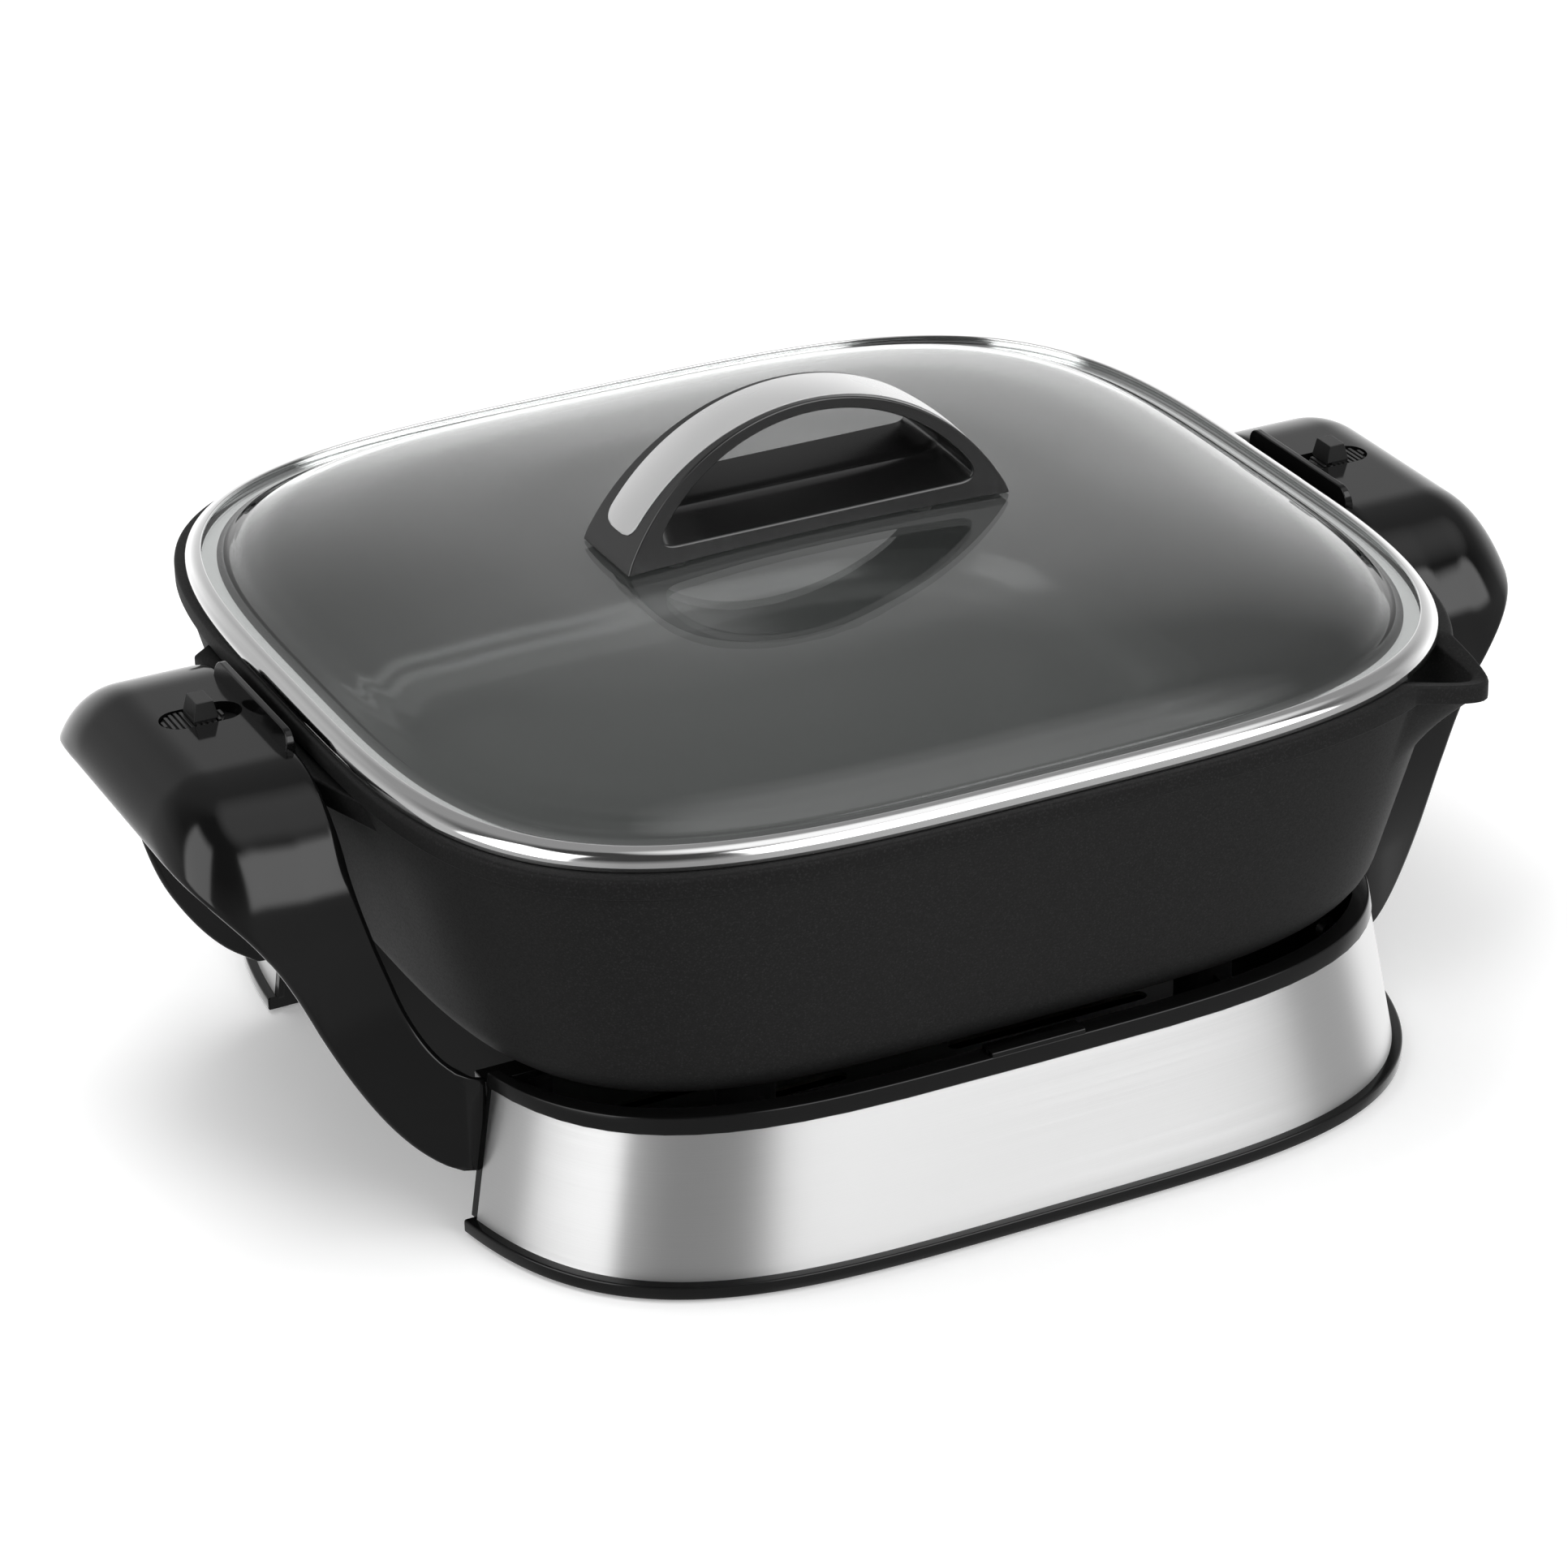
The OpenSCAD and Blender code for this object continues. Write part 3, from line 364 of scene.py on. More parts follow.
def noise(tree, vector, scale, detail=3.0, rough=0.55):
    node = tree.nodes.new("ShaderNodeTexNoise")
    settle(node, {"Detail": detail, "Roughness": rough})
    tree.links.new(vector, node.inputs["Vector"])
    if isinstance(scale, (int, float)):
        node.inputs["Scale"].default_value = scale
    else:
        tree.links.new(scale, node.inputs["Scale"])
    return node.outputs["Fac"]


def span(tree, value, low, high, to_low, to_high):
    """Value mapped from one range to another, clamped; ends may be sockets."""
    node = tree.nodes.new("ShaderNodeMapRange")
    tree.links.new(value, node.inputs["Value"])
    ends = zip(("From Min", "From Max", "To Min", "To Max"), (low, high, to_low, to_high))
    for label, end in ends:
        if isinstance(end, (int, float)):
            node.inputs[label].default_value = end
        else:
            tree.links.new(end, node.inputs[label])
    return node.outputs["Result"]


def blend_colour(tree, fac, a, b):
    node = tree.nodes.new("ShaderNodeMix")
    node.data_type = "RGBA"
    tree.links.new(fac, node.inputs[0])
    for socket, value in ((node.inputs[6], a), (node.inputs[7], b)):
        if isinstance(value, (tuple, list)):
            socket.default_value = value
        else:
            tree.links.new(value, socket)
    return node.outputs[2]


def toned_group(name):
    """Group that takes two tones and two roughnesses and puts out colour, roughness and a bump height."""
    return group(
        name,
        [("Vector", "NodeSocketVector", None), ("Scale", "NodeSocketFloat", 1.0),
         ("Dark", "NodeSocketColor", None), ("Light", "NodeSocketColor", None),
         ("Rough Low", "NodeSocketFloat", 0.3), ("Rough High", "NodeSocketFloat", 0.4)],
        [("Color", "NodeSocketColor"), ("Roughness", "NodeSocketFloat"), ("Height", "NodeSocketFloat")])


def put_out(tree, start, end, pattern, low, high, height):
    """Send a pattern to the group's colour and roughness, and a height to its bump."""
    colour = blend_colour(tree, pattern, start.outputs["Dark"], start.outputs["Light"])
    tree.links.new(colour, end.inputs["Color"])
    rough = span(tree, pattern, low, high, start.outputs["Rough Low"], start.outputs["Rough High"])
    tree.links.new(rough, end.inputs["Roughness"])
    tree.links.new(height, end.inputs["Height"])


def grain_group():
    """Fine moulded grain over soft broad patches."""
    tree, start, end = toned_group("moulded grain")
    fine = noise(tree, start.outputs["Vector"], start.outputs["Scale"])
    broad = noise(tree, start.outputs["Vector"], 24.0, 2.0)
    put_out(tree, start, end, broad, 0.3, 0.7, fine)
    return tree


def brushing_group():
    """Fine lines along the vector's X."""
    tree, start, end = toned_group("brushed lines")
    stretch = tree.nodes.new("ShaderNodeMapping")
    stretch.inputs["Scale"].default_value = (5.0, 6000.0, 1.0)
    tree.links.new(start.outputs["Vector"], stretch.inputs["Vector"])
    lines = noise(tree, stretch.outputs["Vector"], start.outputs["Scale"], 2.0, 0.5)
    put_out(tree, start, end, lines, 0.35, 0.65, lines)
    return tree


def speckle_group():
    """Small light specks scattered in a dark coating."""
    tree, start, end = group(
        "coating specks",
        [("Vector", "NodeSocketVector", None), ("Dark", "NodeSocketColor", None),
         ("Light", "NodeSocketColor", None), ("Size", "NodeSocketFloat", 0.2)],
        [("Color", "NodeSocketColor"), ("Height", "NodeSocketFloat")])
    cells = tree.nodes.new("ShaderNodeTexVoronoi")
    cells.inputs["Scale"].default_value = 1500.0
    tree.links.new(start.outputs["Vector"], cells.inputs["Vector"])
    patches = noise(tree, start.outputs["Vector"], 1400.0, 2.0)
    near = span(tree, cells.outputs["Distance"], 0.0, start.outputs["Size"], 1.0, 0.0)
    some = span(tree, patches, 0.38, 0.64, 0.0, 1.0)
    specks = maths(tree, "MULTIPLY", near, some)
    colour = blend_colour(tree, specks, start.outputs["Dark"], start.outputs["Light"])
    tree.links.new(colour, end.inputs["Color"])
    tree.links.new(patches, end.inputs["Height"])
    return tree


GRAIN = grain_group()
BRUSHING = brushing_group()
SPECKLE = speckle_group()


def material(name):
    mat = bpy.data.materials.new(name)
    mat.use_nodes = True
    shader = mat.node_tree.nodes["Principled BSDF"]
    return mat, mat.node_tree, shader


def coordinates(tree, kind="Object"):
    return tree.nodes.new("ShaderNodeTexCoord").outputs[kind]


def place_group(tree, source, values):
    node = tree.nodes.new("ShaderNodeGroup")
    node.node_tree = source
    settle(node, values)
    return node


def bump(tree, shader, height, strength, distance):
    node = tree.nodes.new("ShaderNodeBump")
    settle(node, {"Strength": strength, "Distance": distance * MM})
    tree.links.new(height, node.inputs["Height"])
    tree.links.new(node.outputs["Normal"], shader.inputs["Normal"])


def grey(value):
    return (value, value, value, 1.0)


def toned(name, pattern, kind, scale, tones, rough):
    """Material with one of the toned groups on its colour and roughness, and the group's bump height."""
    mat, tree, shader = material(name)
    node = place_group(tree, pattern, {
        "Scale": scale, "Dark": tones[0], "Light": tones[1], "Rough Low": rough[0], "Rough High": rough[1]})
    tree.links.new(coordinates(tree, kind), node.inputs["Vector"])
    tree.links.new(node.outputs["Color"], shader.inputs["Base Color"])
    tree.links.new(node.outputs["Roughness"], shader.inputs["Roughness"])
    return mat, tree, shader, node.outputs["Height"]


def moulded(name, dark, light, rough, scale=900.0, strength=0.15, metallic=0.0, shine=0.5):
    """Moulded or cast finish with a fine grain; shine is the strength of its reflections."""
    mat, tree, shader, height = toned(name, GRAIN, "Object", scale, (dark, light), rough)
    settle(shader, {"Metallic": metallic, "Specular IOR Level": shine})
    bump(tree, shader, height, strength, 0.05)
    return mat


def painted_shade_inside(mat, low, high):
    """Painted shade: make a finish rough and paint it deep black inside the base, and in its bays between two
    places along Y, where shade falls.
    """
    tree = mat.node_tree
    shader = tree.nodes["Principled BSDF"]
    to_share = (1 / (BASE_HALF[0] * MM), 1 / (BASE_HALF[1] * MM), 0.0)
    share = vector_maths(tree, "MULTIPLY", coordinates(tree), to_share)
    squared = vector_maths(tree, "MULTIPLY", share, share)
    fourth = vector_maths(tree, "DOT_PRODUCT", squared, squared)
    within = span(tree, fourth, 0.5, 0.58, 1.0, 0.0)
    split = tree.nodes.new("ShaderNodeSeparateXYZ")
    tree.links.new(coordinates(tree), split.inputs[0])
    front = span(tree, split.outputs["Y"], low - 0.001, low, within, 1.0)
    inside = span(tree, split.outputs["Y"], high, high + 0.001, front, within)
    rough = shader.inputs["Roughness"].links[0].from_socket
    tree.links.new(span(tree, inside, 0.0, 1.0, rough, 0.95), shader.inputs["Roughness"])
    colour = shader.inputs["Base Color"].links[0].from_socket
    # Painted shade: the base colour goes to near black inside the base and its bays.
    tree.links.new(blend_colour(tree, inside, colour, grey(0.001)), shader.inputs["Base Color"])


def brushed(name, dark, light, rough):
    """Brushed metal whose lines follow the UV map, and spread its reflections across them."""
    mat, tree, shader, height = toned(name, BRUSHING, "UV", 1.0, (dark, light), rough)
    settle(shader, {"Metallic": 1.0, "Anisotropic": 0.95, "Anisotropic Rotation": 0.25})
    across = tree.nodes.new("ShaderNodeTangent")
    across.direction_type = "UV_MAP"
    across.uv_map = "along"
    tree.links.new(across.outputs["Tangent"], shader.inputs["Tangent"])
    bump(tree, shader, height, 0.06, 0.02)
    return mat


def coated(name):
    """Dark non-stick coating with fine light specks, and painted light inside the pan: a lighter grey there
    than outside.
    """
    mat, tree, shader = material(name)
    node = place_group(tree, SPECKLE, {"Dark": grey(0.007), "Light": grey(0.022), "Size": 0.6})
    tree.links.new(coordinates(tree), node.inputs["Vector"])
    inside = tree.nodes.new("ShaderNodeAttribute")
    inside.attribute_name = "share"
    # Painted light: inside the pan the same coating is painted a lighter grey, standing in for the haze and
    # light seen through the lid.
    mask = span(tree, inside.outputs["Fac"], 0.74, 0.78, 0.0, 1.0)
    tree.links.new(blend_colour(tree, mask, node.outputs["Color"], grey(0.07)), shader.inputs["Base Color"])
    tree.links.new(span(tree, mask, 0.0, 1.0, 0.0, 0.7), shader.inputs["Coat Weight"])
    settle(shader, {"Coat Roughness": 0.22, "Specular IOR Level": 0.15})
    rough = span(tree, node.outputs["Height"], 0.3, 0.7, 0.55, 0.65)
    tree.links.new(rough, shader.inputs["Roughness"])
    bump(tree, shader, node.outputs["Height"], 0.12, 0.05)
    return mat


def clear_glass(name):
    """Clear glass that lets lamp light through to what lies under it."""
    mat, tree, shader = material(name)
    settle(shader, {
        "Base Color": (0.97, 0.985, 0.98, 1.0), "Transmission Weight": 1.0, "Roughness": 0.0, "IOR": 1.5})
    path = tree.nodes.new("ShaderNodeLightPath")
    passing = tree.nodes.new("ShaderNodeBsdfTransparent")
    passing.inputs["Color"].default_value = (0.9, 0.92, 0.91, 1.0)
    both = tree.nodes.new("ShaderNodeMixShader")
    soft = maths(tree, "MAXIMUM", path.outputs["Is Shadow Ray"], path.outputs["Is Diffuse Ray"])
    tree.links.new(soft, both.inputs[0])
    tree.links.new(shader.outputs["BSDF"], both.inputs[1])
    tree.links.new(passing.outputs["BSDF"], both.inputs[2])
    tree.links.new(both.outputs["Shader"], tree.nodes["Material Output"].inputs["Surface"])
    return mat


# Two tones and the range of roughness of each moulded or cast finish, and what else sets it apart
MOULDED = {
    "base_black": (grey(0.004), grey(0.006), (0.13, 0.19), {"strength": 0.05, "shine": 0.3}),
    "plated_sheet": (grey(0.16), grey(0.22), (0.45, 0.55), {"metallic": 1.0}),
    "rubber": (grey(0.020), grey(0.028), (0.75, 0.85), {"scale": 600.0, "strength": 0.3}),
    "screw_steel": (grey(0.55), grey(0.65), (0.25, 0.35), {"metallic": 1.0}),
    "handle_black": (
        grey(0.003), grey(0.005), (0.09, 0.14), {"scale": 700.0, "strength": 0.02, "shine": 0.35}),
    "latch_black": (grey(0.007), grey(0.010), (0.32, 0.40), {"strength": 0.2, "shine": 0.4}),
    "element_sheath": (
        grey(0.16), grey(0.24), (0.45, 0.6), {"scale": 500.0, "strength": 0.2, "metallic": 1.0}),
    "pin_metal": ((0.60, 0.45, 0.20, 1), (0.66, 0.52, 0.26, 1), (0.25, 0.35), {"metallic": 1.0}),
    "insulator": (
        (0.70, 0.67, 0.60, 1), (0.76, 0.73, 0.67, 1), (0.5, 0.6), {"scale": 500.0, "strength": 0.1}),
    "cast_aluminium": (
        grey(0.42), grey(0.52), (0.45, 0.55), {"scale": 400.0, "strength": 0.3, "metallic": 1.0}),
    "polished_steel": (
        grey(0.84), grey(0.88), (0.07, 0.11), {"scale": 300.0, "strength": 0.01, "metallic": 1.0}),
    "grip_black": (
        grey(0.006), grey(0.009), (0.22, 0.28), {"scale": 1500.0, "strength": 0.12, "shine": 0.7}),
    "inlay_silver": (
        grey(0.66), grey(0.72), (0.26, 0.32), {"scale": 1800.0, "strength": 0.1, "metallic": 0.6}),
}
FINISHES = {name: moulded(name, *tones, **extras) for name, (*tones, extras) in MOULDED.items()}
FINISHES["brushed_steel"] = brushed("brushed_steel", grey(0.72), grey(0.79), (0.31, 0.37))
FINISHES["pan_coating"] = coated("pan_coating")
FINISHES["glass"] = clear_glass("glass")
# Painted shade inside the base and in its bays.
painted_shade_inside(FINISHES["base_black"], -0.0760, 0.0565)


def finish_solids():
    """Finish of each solid, by the slot that the record gives it."""
    for entry in frame["record"]["subparts"]:
        obj = frame["nodes"][entry["node"]]
        obj.data.materials.clear()
        obj.data.materials.append(FINISHES[entry["material_slot"]])


finish_solids()


# Pan

def pan_inset(z):
    """How far the pan's outer wall lies inside the rim at height z."""
    return RIM_LIP + (PAN_TOP - RIM_HEIGHT - z) * PAN_SLOPE


def spout_share(angle):
    """Share of the full spout in one direction, from 0 to 1, with a rounded tip."""
    soft = SPOUT_TIP_SOFT
    u = abs((angle - SPOUT_ANGLE + math.pi) % (2 * math.pi) - math.pi) / SPOUT_SPREAD
    full = math.hypot(1, soft) - soft
    return max(0.0, 1 - (math.hypot(u, soft) - soft) / full)


def pan_stations():
    """Section of the pan from underside to rim to floor: inset, height, spout reach and spout fall."""
    lip_z = PAN_TOP - RIM_HEIGHT
    root_z = SPOUT_ROOT_Z
    outer = filleted([
        (PAN_FLAT_INSET, PAN_BOTTOM, 0, 0, 0), (pan_inset(PAN_BOTTOM), PAN_BOTTOM, PAN_OUTER_R, 0, 0),
        (pan_inset(root_z), root_z, 0, 0, 0)], 10)
    flare = []
    for k in range(1, 9):
        z = mix(root_z, lip_z, k / 8)
        share = (k / 8) ** 1.4
        flare.append((pan_inset(z), z, 0.85 * SPOUT_REACH * share, SPOUT_FALL * share))
    rim = filleted([
        flare[-1][:2] + (0,) + flare[-1][2:],
        (0, lip_z, 0.5, SPOUT_REACH, SPOUT_FALL), (0, PAN_TOP, 1.0, SPOUT_REACH, SPOUT_FALL),
        (RIM_WIDTH, PAN_TOP, 0.9, SPOUT_INNER_REACH, SPOUT_FALL),
        (RIM_WIDTH + 1, PAN_TOP - 8, 0, 0.62 * SPOUT_INNER_REACH, SPOUT_FALL)], 4)
    inner = filleted([
        (RIM_WIDTH + 1, PAN_TOP - 8, 0, 0, 0), (pan_inset(root_z) + PAN_WALL, root_z, 0, 0, 0),
        (pan_inset(PAN_FLOOR) + PAN_WALL, PAN_FLOOR, PAN_INNER_R, 0, 0),
        (PAN_FLAT_INSET, PAN_FLOOR, 0, 0, 0)], 10)
    return outer + flare + rim[1:] + inner[1:]


def pan_place(angle, station):
    inset, z, reach, fall = station
    x, y = rounded_square(shrunk(PAN_HALF, inset), PAN_SQUARE, angle)
    share = spout_share(angle)
    out = share * reach
    return Vector((x + out * math.cos(SPOUT_ANGLE), y + out * math.sin(SPOUT_ANGLE), z - share * fall))


def draw_pan():
    bm = ring_stack(pan_stations(), pan_place, 720)
    piece("pan_cast", bm, "pan", "pan_coating", "pan", sharp=50)


def draw_ears():
    """Cast ears at both sides that the latches reach over."""
    bm = bmesh.new()
    root = PAN_HALF[0] - pan_inset(EAR_TOP - EAR_THICK) - 2
    ends = {(True, True): 52.0, (False, True): 60.0, (True, False): -30.0, (False, False): -62.0}
    for side in (-1, 1):
        made = bmesh.ops.create_cube(bm, size=1)["verts"]
        for v in made:
            outer = v.co.x > 0
            x = EAR_OUT if outer else root
            v.co = (side * x, ends[outer, v.co.y > 0], EAR_TOP + EAR_THICK * (v.co.z - 0.5))
    ears = piece("pan_ears", bm, "pan", "pan_coating", sharp=30)
    round_edges(ears, 0.8)


draw_pan()
draw_ears()


# Lid

def glass_stations():
    """Top face of the glass from its edge to the middle of the dome: half sizes, squareness, height."""
    rise = GLASS_TOP - GLASS_Z
    shoulder = BAND_SHOULDER
    dome = GLASS_DOME
    seat = dome * dome / (2 * DOME_R)
    inset = [(GLASS_EDGE, LID_SQUARE, 0.0), (shoulder, LID_SQUARE, 0.011), (shoulder + 3, LID_SQUARE, 0.09),
             (shoulder + 8, LID_SQUARE, 0.27), (shoulder + 16, LID_SQUARE - 0.1, 0.45),
             (shoulder + 34, LID_SQUARE - 0.4, 0.67), (shoulder + 58, 2.6, 0.83)]
    steps = [(*shrunk(LID_HALF, d), n, GLASS_Z + share * rise) for d, n, share in inset]
    steps += [(dome, dome, 2.0, GLASS_TOP - seat), (dome / 2, dome / 2, 2.0, GLASS_TOP - seat / 4),
              (6.0, 6.0, 2.0, GLASS_TOP)]
    return through(steps, 6)


def through(points, steps):
    """Smooth line through points with any number of values each."""
    line = []
    for i in range(len(points) - 1):
        a = points[max(i - 1, 0)]
        b, c = points[i], points[i + 1]
        d = points[min(i + 2, len(points) - 1)]
        for k in range(steps):
            t = k / steps
            line.append(tuple(
                0.5 * (2 * q + (r - p) * t + (2 * p - 5 * q + 4 * r - s) * t * t
                       + (3 * q - p - 3 * r + s) * t ** 3)
                for p, q, r, s in zip(a, b, c, d)))
    line.append(tuple(points[-1]))
    return line


def draw_glass():
    top = glass_stations()
    under = [(x, y, n, z - GLASS_THICK) for x, y, n, z in reversed(top)]
    bm = ring_stack(under + top, lambda angle, s: Vector((*rounded_square(s[:2], s[2], angle), s[3])), 360)
    piece("lid_dome", bm, "lid", "glass", "lid_glass", sharp=60)


def draw_band():
    """Steel band with a round outer roll over the glass and a flange under it."""
    bottom = PAN_TOP + 0.03
    low = GLASS_Z - GLASS_THICK - 0.1
    lip = BAND_TOP - BAND_LIP
    section = filleted([
        (FLANGE_WIDTH, bottom, 0), (0.0, bottom, 0.4), (0.0, BAND_TOP, ROLL_R), (ROLL_WIDTH, BAND_TOP, 0.3),
        (ROLL_WIDTH, lip, 0.2), (BAND_WALL, lip, 0.2), (BAND_WALL, low, 0.2), (FLANGE_WIDTH, low, 0)], 8)

    def place(angle, station):
        inset, z = station
        return Vector((*rounded_square(shrunk(LID_HALF, inset), LID_SQUARE, angle), z))

    bm = ring_stack(section, place, closed=True)
    piece("lid_band", bm, "lid", "polished_steel", "lid_rim", sharp=60)


draw_glass()
draw_band()


# Lid handle

def bow(half, rise):
    """Radius of a bow over a half chord with a given rise."""
    return (half * half + rise * rise) / (2 * rise)


GRIP_R = bow(GRIP_HALF, GRIP_TOP - GRIP_END)
GRIP_ANGLE = math.asin(GRIP_HALF / GRIP_R)
GAP_R = bow(GAP_HALF, GAP_TOP - GAP_FLOOR)


def half_turn(turn):
    """Side of the grip and share of the way from the middle of its floor to its top."""
    share = (turn - 0.75) % 1
    return (1, share / 0.5) if share <= 0.5 else (-1, (1 - share) / 0.5)


def grip_outline(turn, sunk):
    """Outline of the grip from the front, over the arch and back along the glass."""
    side, share = half_turn(turn)
    if share <= 0.5:
        x = GRIP_HALF * share / 0.5
        return side * x, GLASS_TOP - x * x / (2 * DOME_R) + 0.2
    a = GRIP_ANGLE * (1 - share) / 0.5
    r = GRIP_R - sunk
    return side * r * math.sin(a), GRIP_TOP - GRIP_R + r * math.cos(a)


def gap_outline(turn, floor):
    """Outline of the opening over a floor at one height, with rounded corners."""
    side, share = half_turn(turn)
    centre = GAP_TOP - GAP_R
    corner = GAP_R * math.sin(math.acos((floor - centre) / GAP_R))
    spring = math.acos((floor + 5.9 - centre) / GAP_R)
    if share < 0.4:
        return side * (corner - 7) * share / 0.4, floor
    if share < 0.55:
        foot = (GAP_R * math.sin(spring), centre + GAP_R * math.cos(spring))
        curve = ((corner - 7, floor), (corner - 2.5, floor),
                 (foot[0] + 4.5 * math.cos(spring), foot[1] - 4.5 * math.sin(spring)), foot)
        x, z = bezier(curve, (share - 0.4) / 0.15)
        return side * x, z
    a = spring * (1 - share) / 0.45
    return side * GAP_R * math.sin(a), centre + GAP_R * math.cos(a)


def grip_half_width(z):
    """Half width of the grip at height z, narrowing upwards."""
    return mix(GRIP_FOOT_W, GRIP_TOP_W, (z - GRIP_END) / (GRIP_TOP - GRIP_END))


def draw_grip():
    """Arched grip: from its front outline through the opening to its back outline."""
    seam = 0.02
    depths = [0, 0.12, 0.25, 0.38, 0.5 - seam, 0.5, 0.5 + seam, 0.62, 0.75, 0.88, 1]
    stations = [("outside", 0)] + [("opening", d) for d in depths] + [("outside", 1)]

    def place(angle, station):
        kind, depth = station
        turn = (angle / (2 * math.pi)) % 1
        if kind == "outside":
            x, z = grip_outline(turn, 0.6)
        else:
            x, z = gap_outline(turn, GAP_FLOOR + GAP_RISE * depth)
            if depth == 0.5:
                z -= 0.3 if half_turn(turn)[1] < 0.55 else 0
        half = grip_half_width(z)
        return Vector((x, mix(-half, half, depth), z))

    bm = ring_stack(stations, place, 240, closed=True)
    grip = piece("lid_grip", bm, "lid", "grip_black", "lid_handle", sharp=40)
    round_edges(grip, 1.1, 4)


def draw_inlay():
    """Silver band along the arch, crowned across and rounded at its ends."""
    ends = GRIP_ANGLE - INLAY_SHORT

    def place(u, v):
        a = mix(-ends, ends, u)
        from_end = (ends - abs(a)) * GRIP_R
        half = INLAY_HALF_W
        if from_end < INLAY_END_R:
            half -= INLAY_END_R - math.sqrt(max(0.0, INLAY_END_R ** 2 - (INLAY_END_R - from_end) ** 2))
        across = mix(-1, 1, v)
        r = GRIP_R - INLAY_CROWN * across * across
        return Vector((r * math.sin(a), across * half, GRIP_TOP - GRIP_R + r * math.cos(a)))

    bm = sheet(200, 16, place)
    bmesh.ops.recalc_face_normals(bm, faces=bm.faces)
    if max(bm.faces, key=lambda f: f.calc_center_median().z).normal.z < 0:
        bmesh.ops.reverse_faces(bm, faces=bm.faces)
    inlay = piece("lid_inlay", bm, "lid", "inlay_silver", "handle_inlay", outwards=False)
    thick = inlay.modifiers.new("band", "SOLIDIFY")
    thick.thickness = INLAY_THICK * MM
    thick.offset = -1
    round_edges(inlay, 0.15, 2, 50)


draw_grip()
draw_inlay()


# Base

def base_half(z):
    """Half sizes of the steel panel's outer face at height z."""
    t = (z - PANEL_Z) / PANEL_HEIGHT
    return tuple(h - PANEL_STEP - lean * t for h, lean in zip(BASE_HALF, PANEL_LEAN))


def lowered(y, z):
    """Height of a point of the base with its rim set down, most beside the bays."""
    drop = RIM_DROP + BAY_DROP * ease((140 - abs(y)) / 60)
    return z - drop * max(0.0, (z - DROP_FROM_Z) / (CROWN_TOP - DROP_FROM_Z))


def half_width_at(half, square, y):
    return half[0] * (1 - abs(y / half[1]) ** square) ** (1 / square)


def bow_strip(stations, bay, sign, columns=200, reach=None):
    """Strip round the front or back bow of the base through stations (half sizes, height).

    It runs from bay to bay, or only as far as reach to each side of the middle.
    """
    last = len(stations) - 1

    def place(u, v):
        half, z = stations[round(v * last)]
        if reach is None:
            end = math.atan2(bay, half_width_at(half, BASE_SQUARE, bay))
        else:
            end = math.atan2(half_width_at(half[::-1], BASE_SQUARE, reach), reach)
        x, y = rounded_square(half, BASE_SQUARE, mix(math.pi - end, end, u))
        return Vector((x, sign * y, lowered(y, z)))

    return sheet(columns, last, place)


def arc_lengths(half, square):
    """Length of the outline from its left end to each direction, for a pattern that follows it."""
    lengths = [0.0]
    before = rounded_square(half, square, math.pi)
    for k in range(1, 721):
        here = rounded_square(half, square, math.pi * (1 - k / 720))
        lengths.append(lengths[-1] + math.dist(before, here))
        before = here
    return lengths


def draw_panel(name, node, bay, sign):
    """Thin steel panel wrapped round one bow of the base."""
    low = base_half(PANEL_Z)
    top = base_half(CROWN_Z)
    bm = bow_strip([
        (shrunk(low, PANEL_THICK), PANEL_Z), (low, PANEL_Z),
        (top, CROWN_Z), (shrunk(top, PANEL_THICK), CROWN_Z)], bay, sign)
    lengths = arc_lengths(low, BASE_SQUARE)

    def unwrap(co):
        turn = math.atan2(sign * co.y, co.x) / math.pi
        return lengths[round(720 * (1 - min(max(turn, 0), 1)))] * MM, co.z * MM

    add_uv(bm, unwrap)
    piece(name, bm, "base", "brushed_steel", node, sharp=40, outwards=False)


def draw_flange(name, bay, sign):
    """Foot flange with rounded edges, over the one on the solid."""
    section = filleted([
        (6.0, FLANGE_Z - SKIN, 0), (-SKIN, FLANGE_Z - SKIN, 0.6), (-SKIN, PANEL_Z + SKIN, 0.6),
        (PANEL_STEP + 0.6, PANEL_Z + SKIN, 0)], 4)
    bm = bow_strip([(shrunk(BASE_HALF, d), z) for d, z in section], bay, sign)
    piece(name, bm, "base", "base_black", sharp=40, outwards=False)


def draw_crown(name, bay, sign):
    """Black rim above the steel panel, over the one on the solid, and its flush raised tab."""
    top = base_half(CROWN_Z)
    section = filleted([
        (1.5, CROWN_Z - SKIN, 0), (-0.5 - SKIN, CROWN_Z - SKIN, 0.4), (0.2 - SKIN, CROWN_TOP + SKIN, 0.6),
        (2.9, CROWN_TOP + SKIN, 0)], 4)
    bm = bow_strip([(shrunk(top, d), z) for d, z in section], bay, sign)
    piece(name, bm, "base", "base_black", sharp=40, outwards=False)

    low = CROWN_TOP - 2
    high = CROWN_TOP + TAB_HEIGHT
    section = filleted([
        (3.0, low, 0), (-0.04, low, 0), (0.34, high, 0.5), (2.9, high, 0.3), (3.0, low, 0)], 4)
    bm = bow_strip([(shrunk(top, d), z) for d, z in section], bay, sign, 40, TAB_HALF)
    bmesh.ops.remove_doubles(bm, verts=bm.verts, dist=0.0005)
    bmesh.ops.holes_fill(bm, edges=bm.edges, sides=0)
    tab = piece(name + "_tab", bm, "base", "base_black", sharp=40)
    round_edges(tab, 0.2, 2)


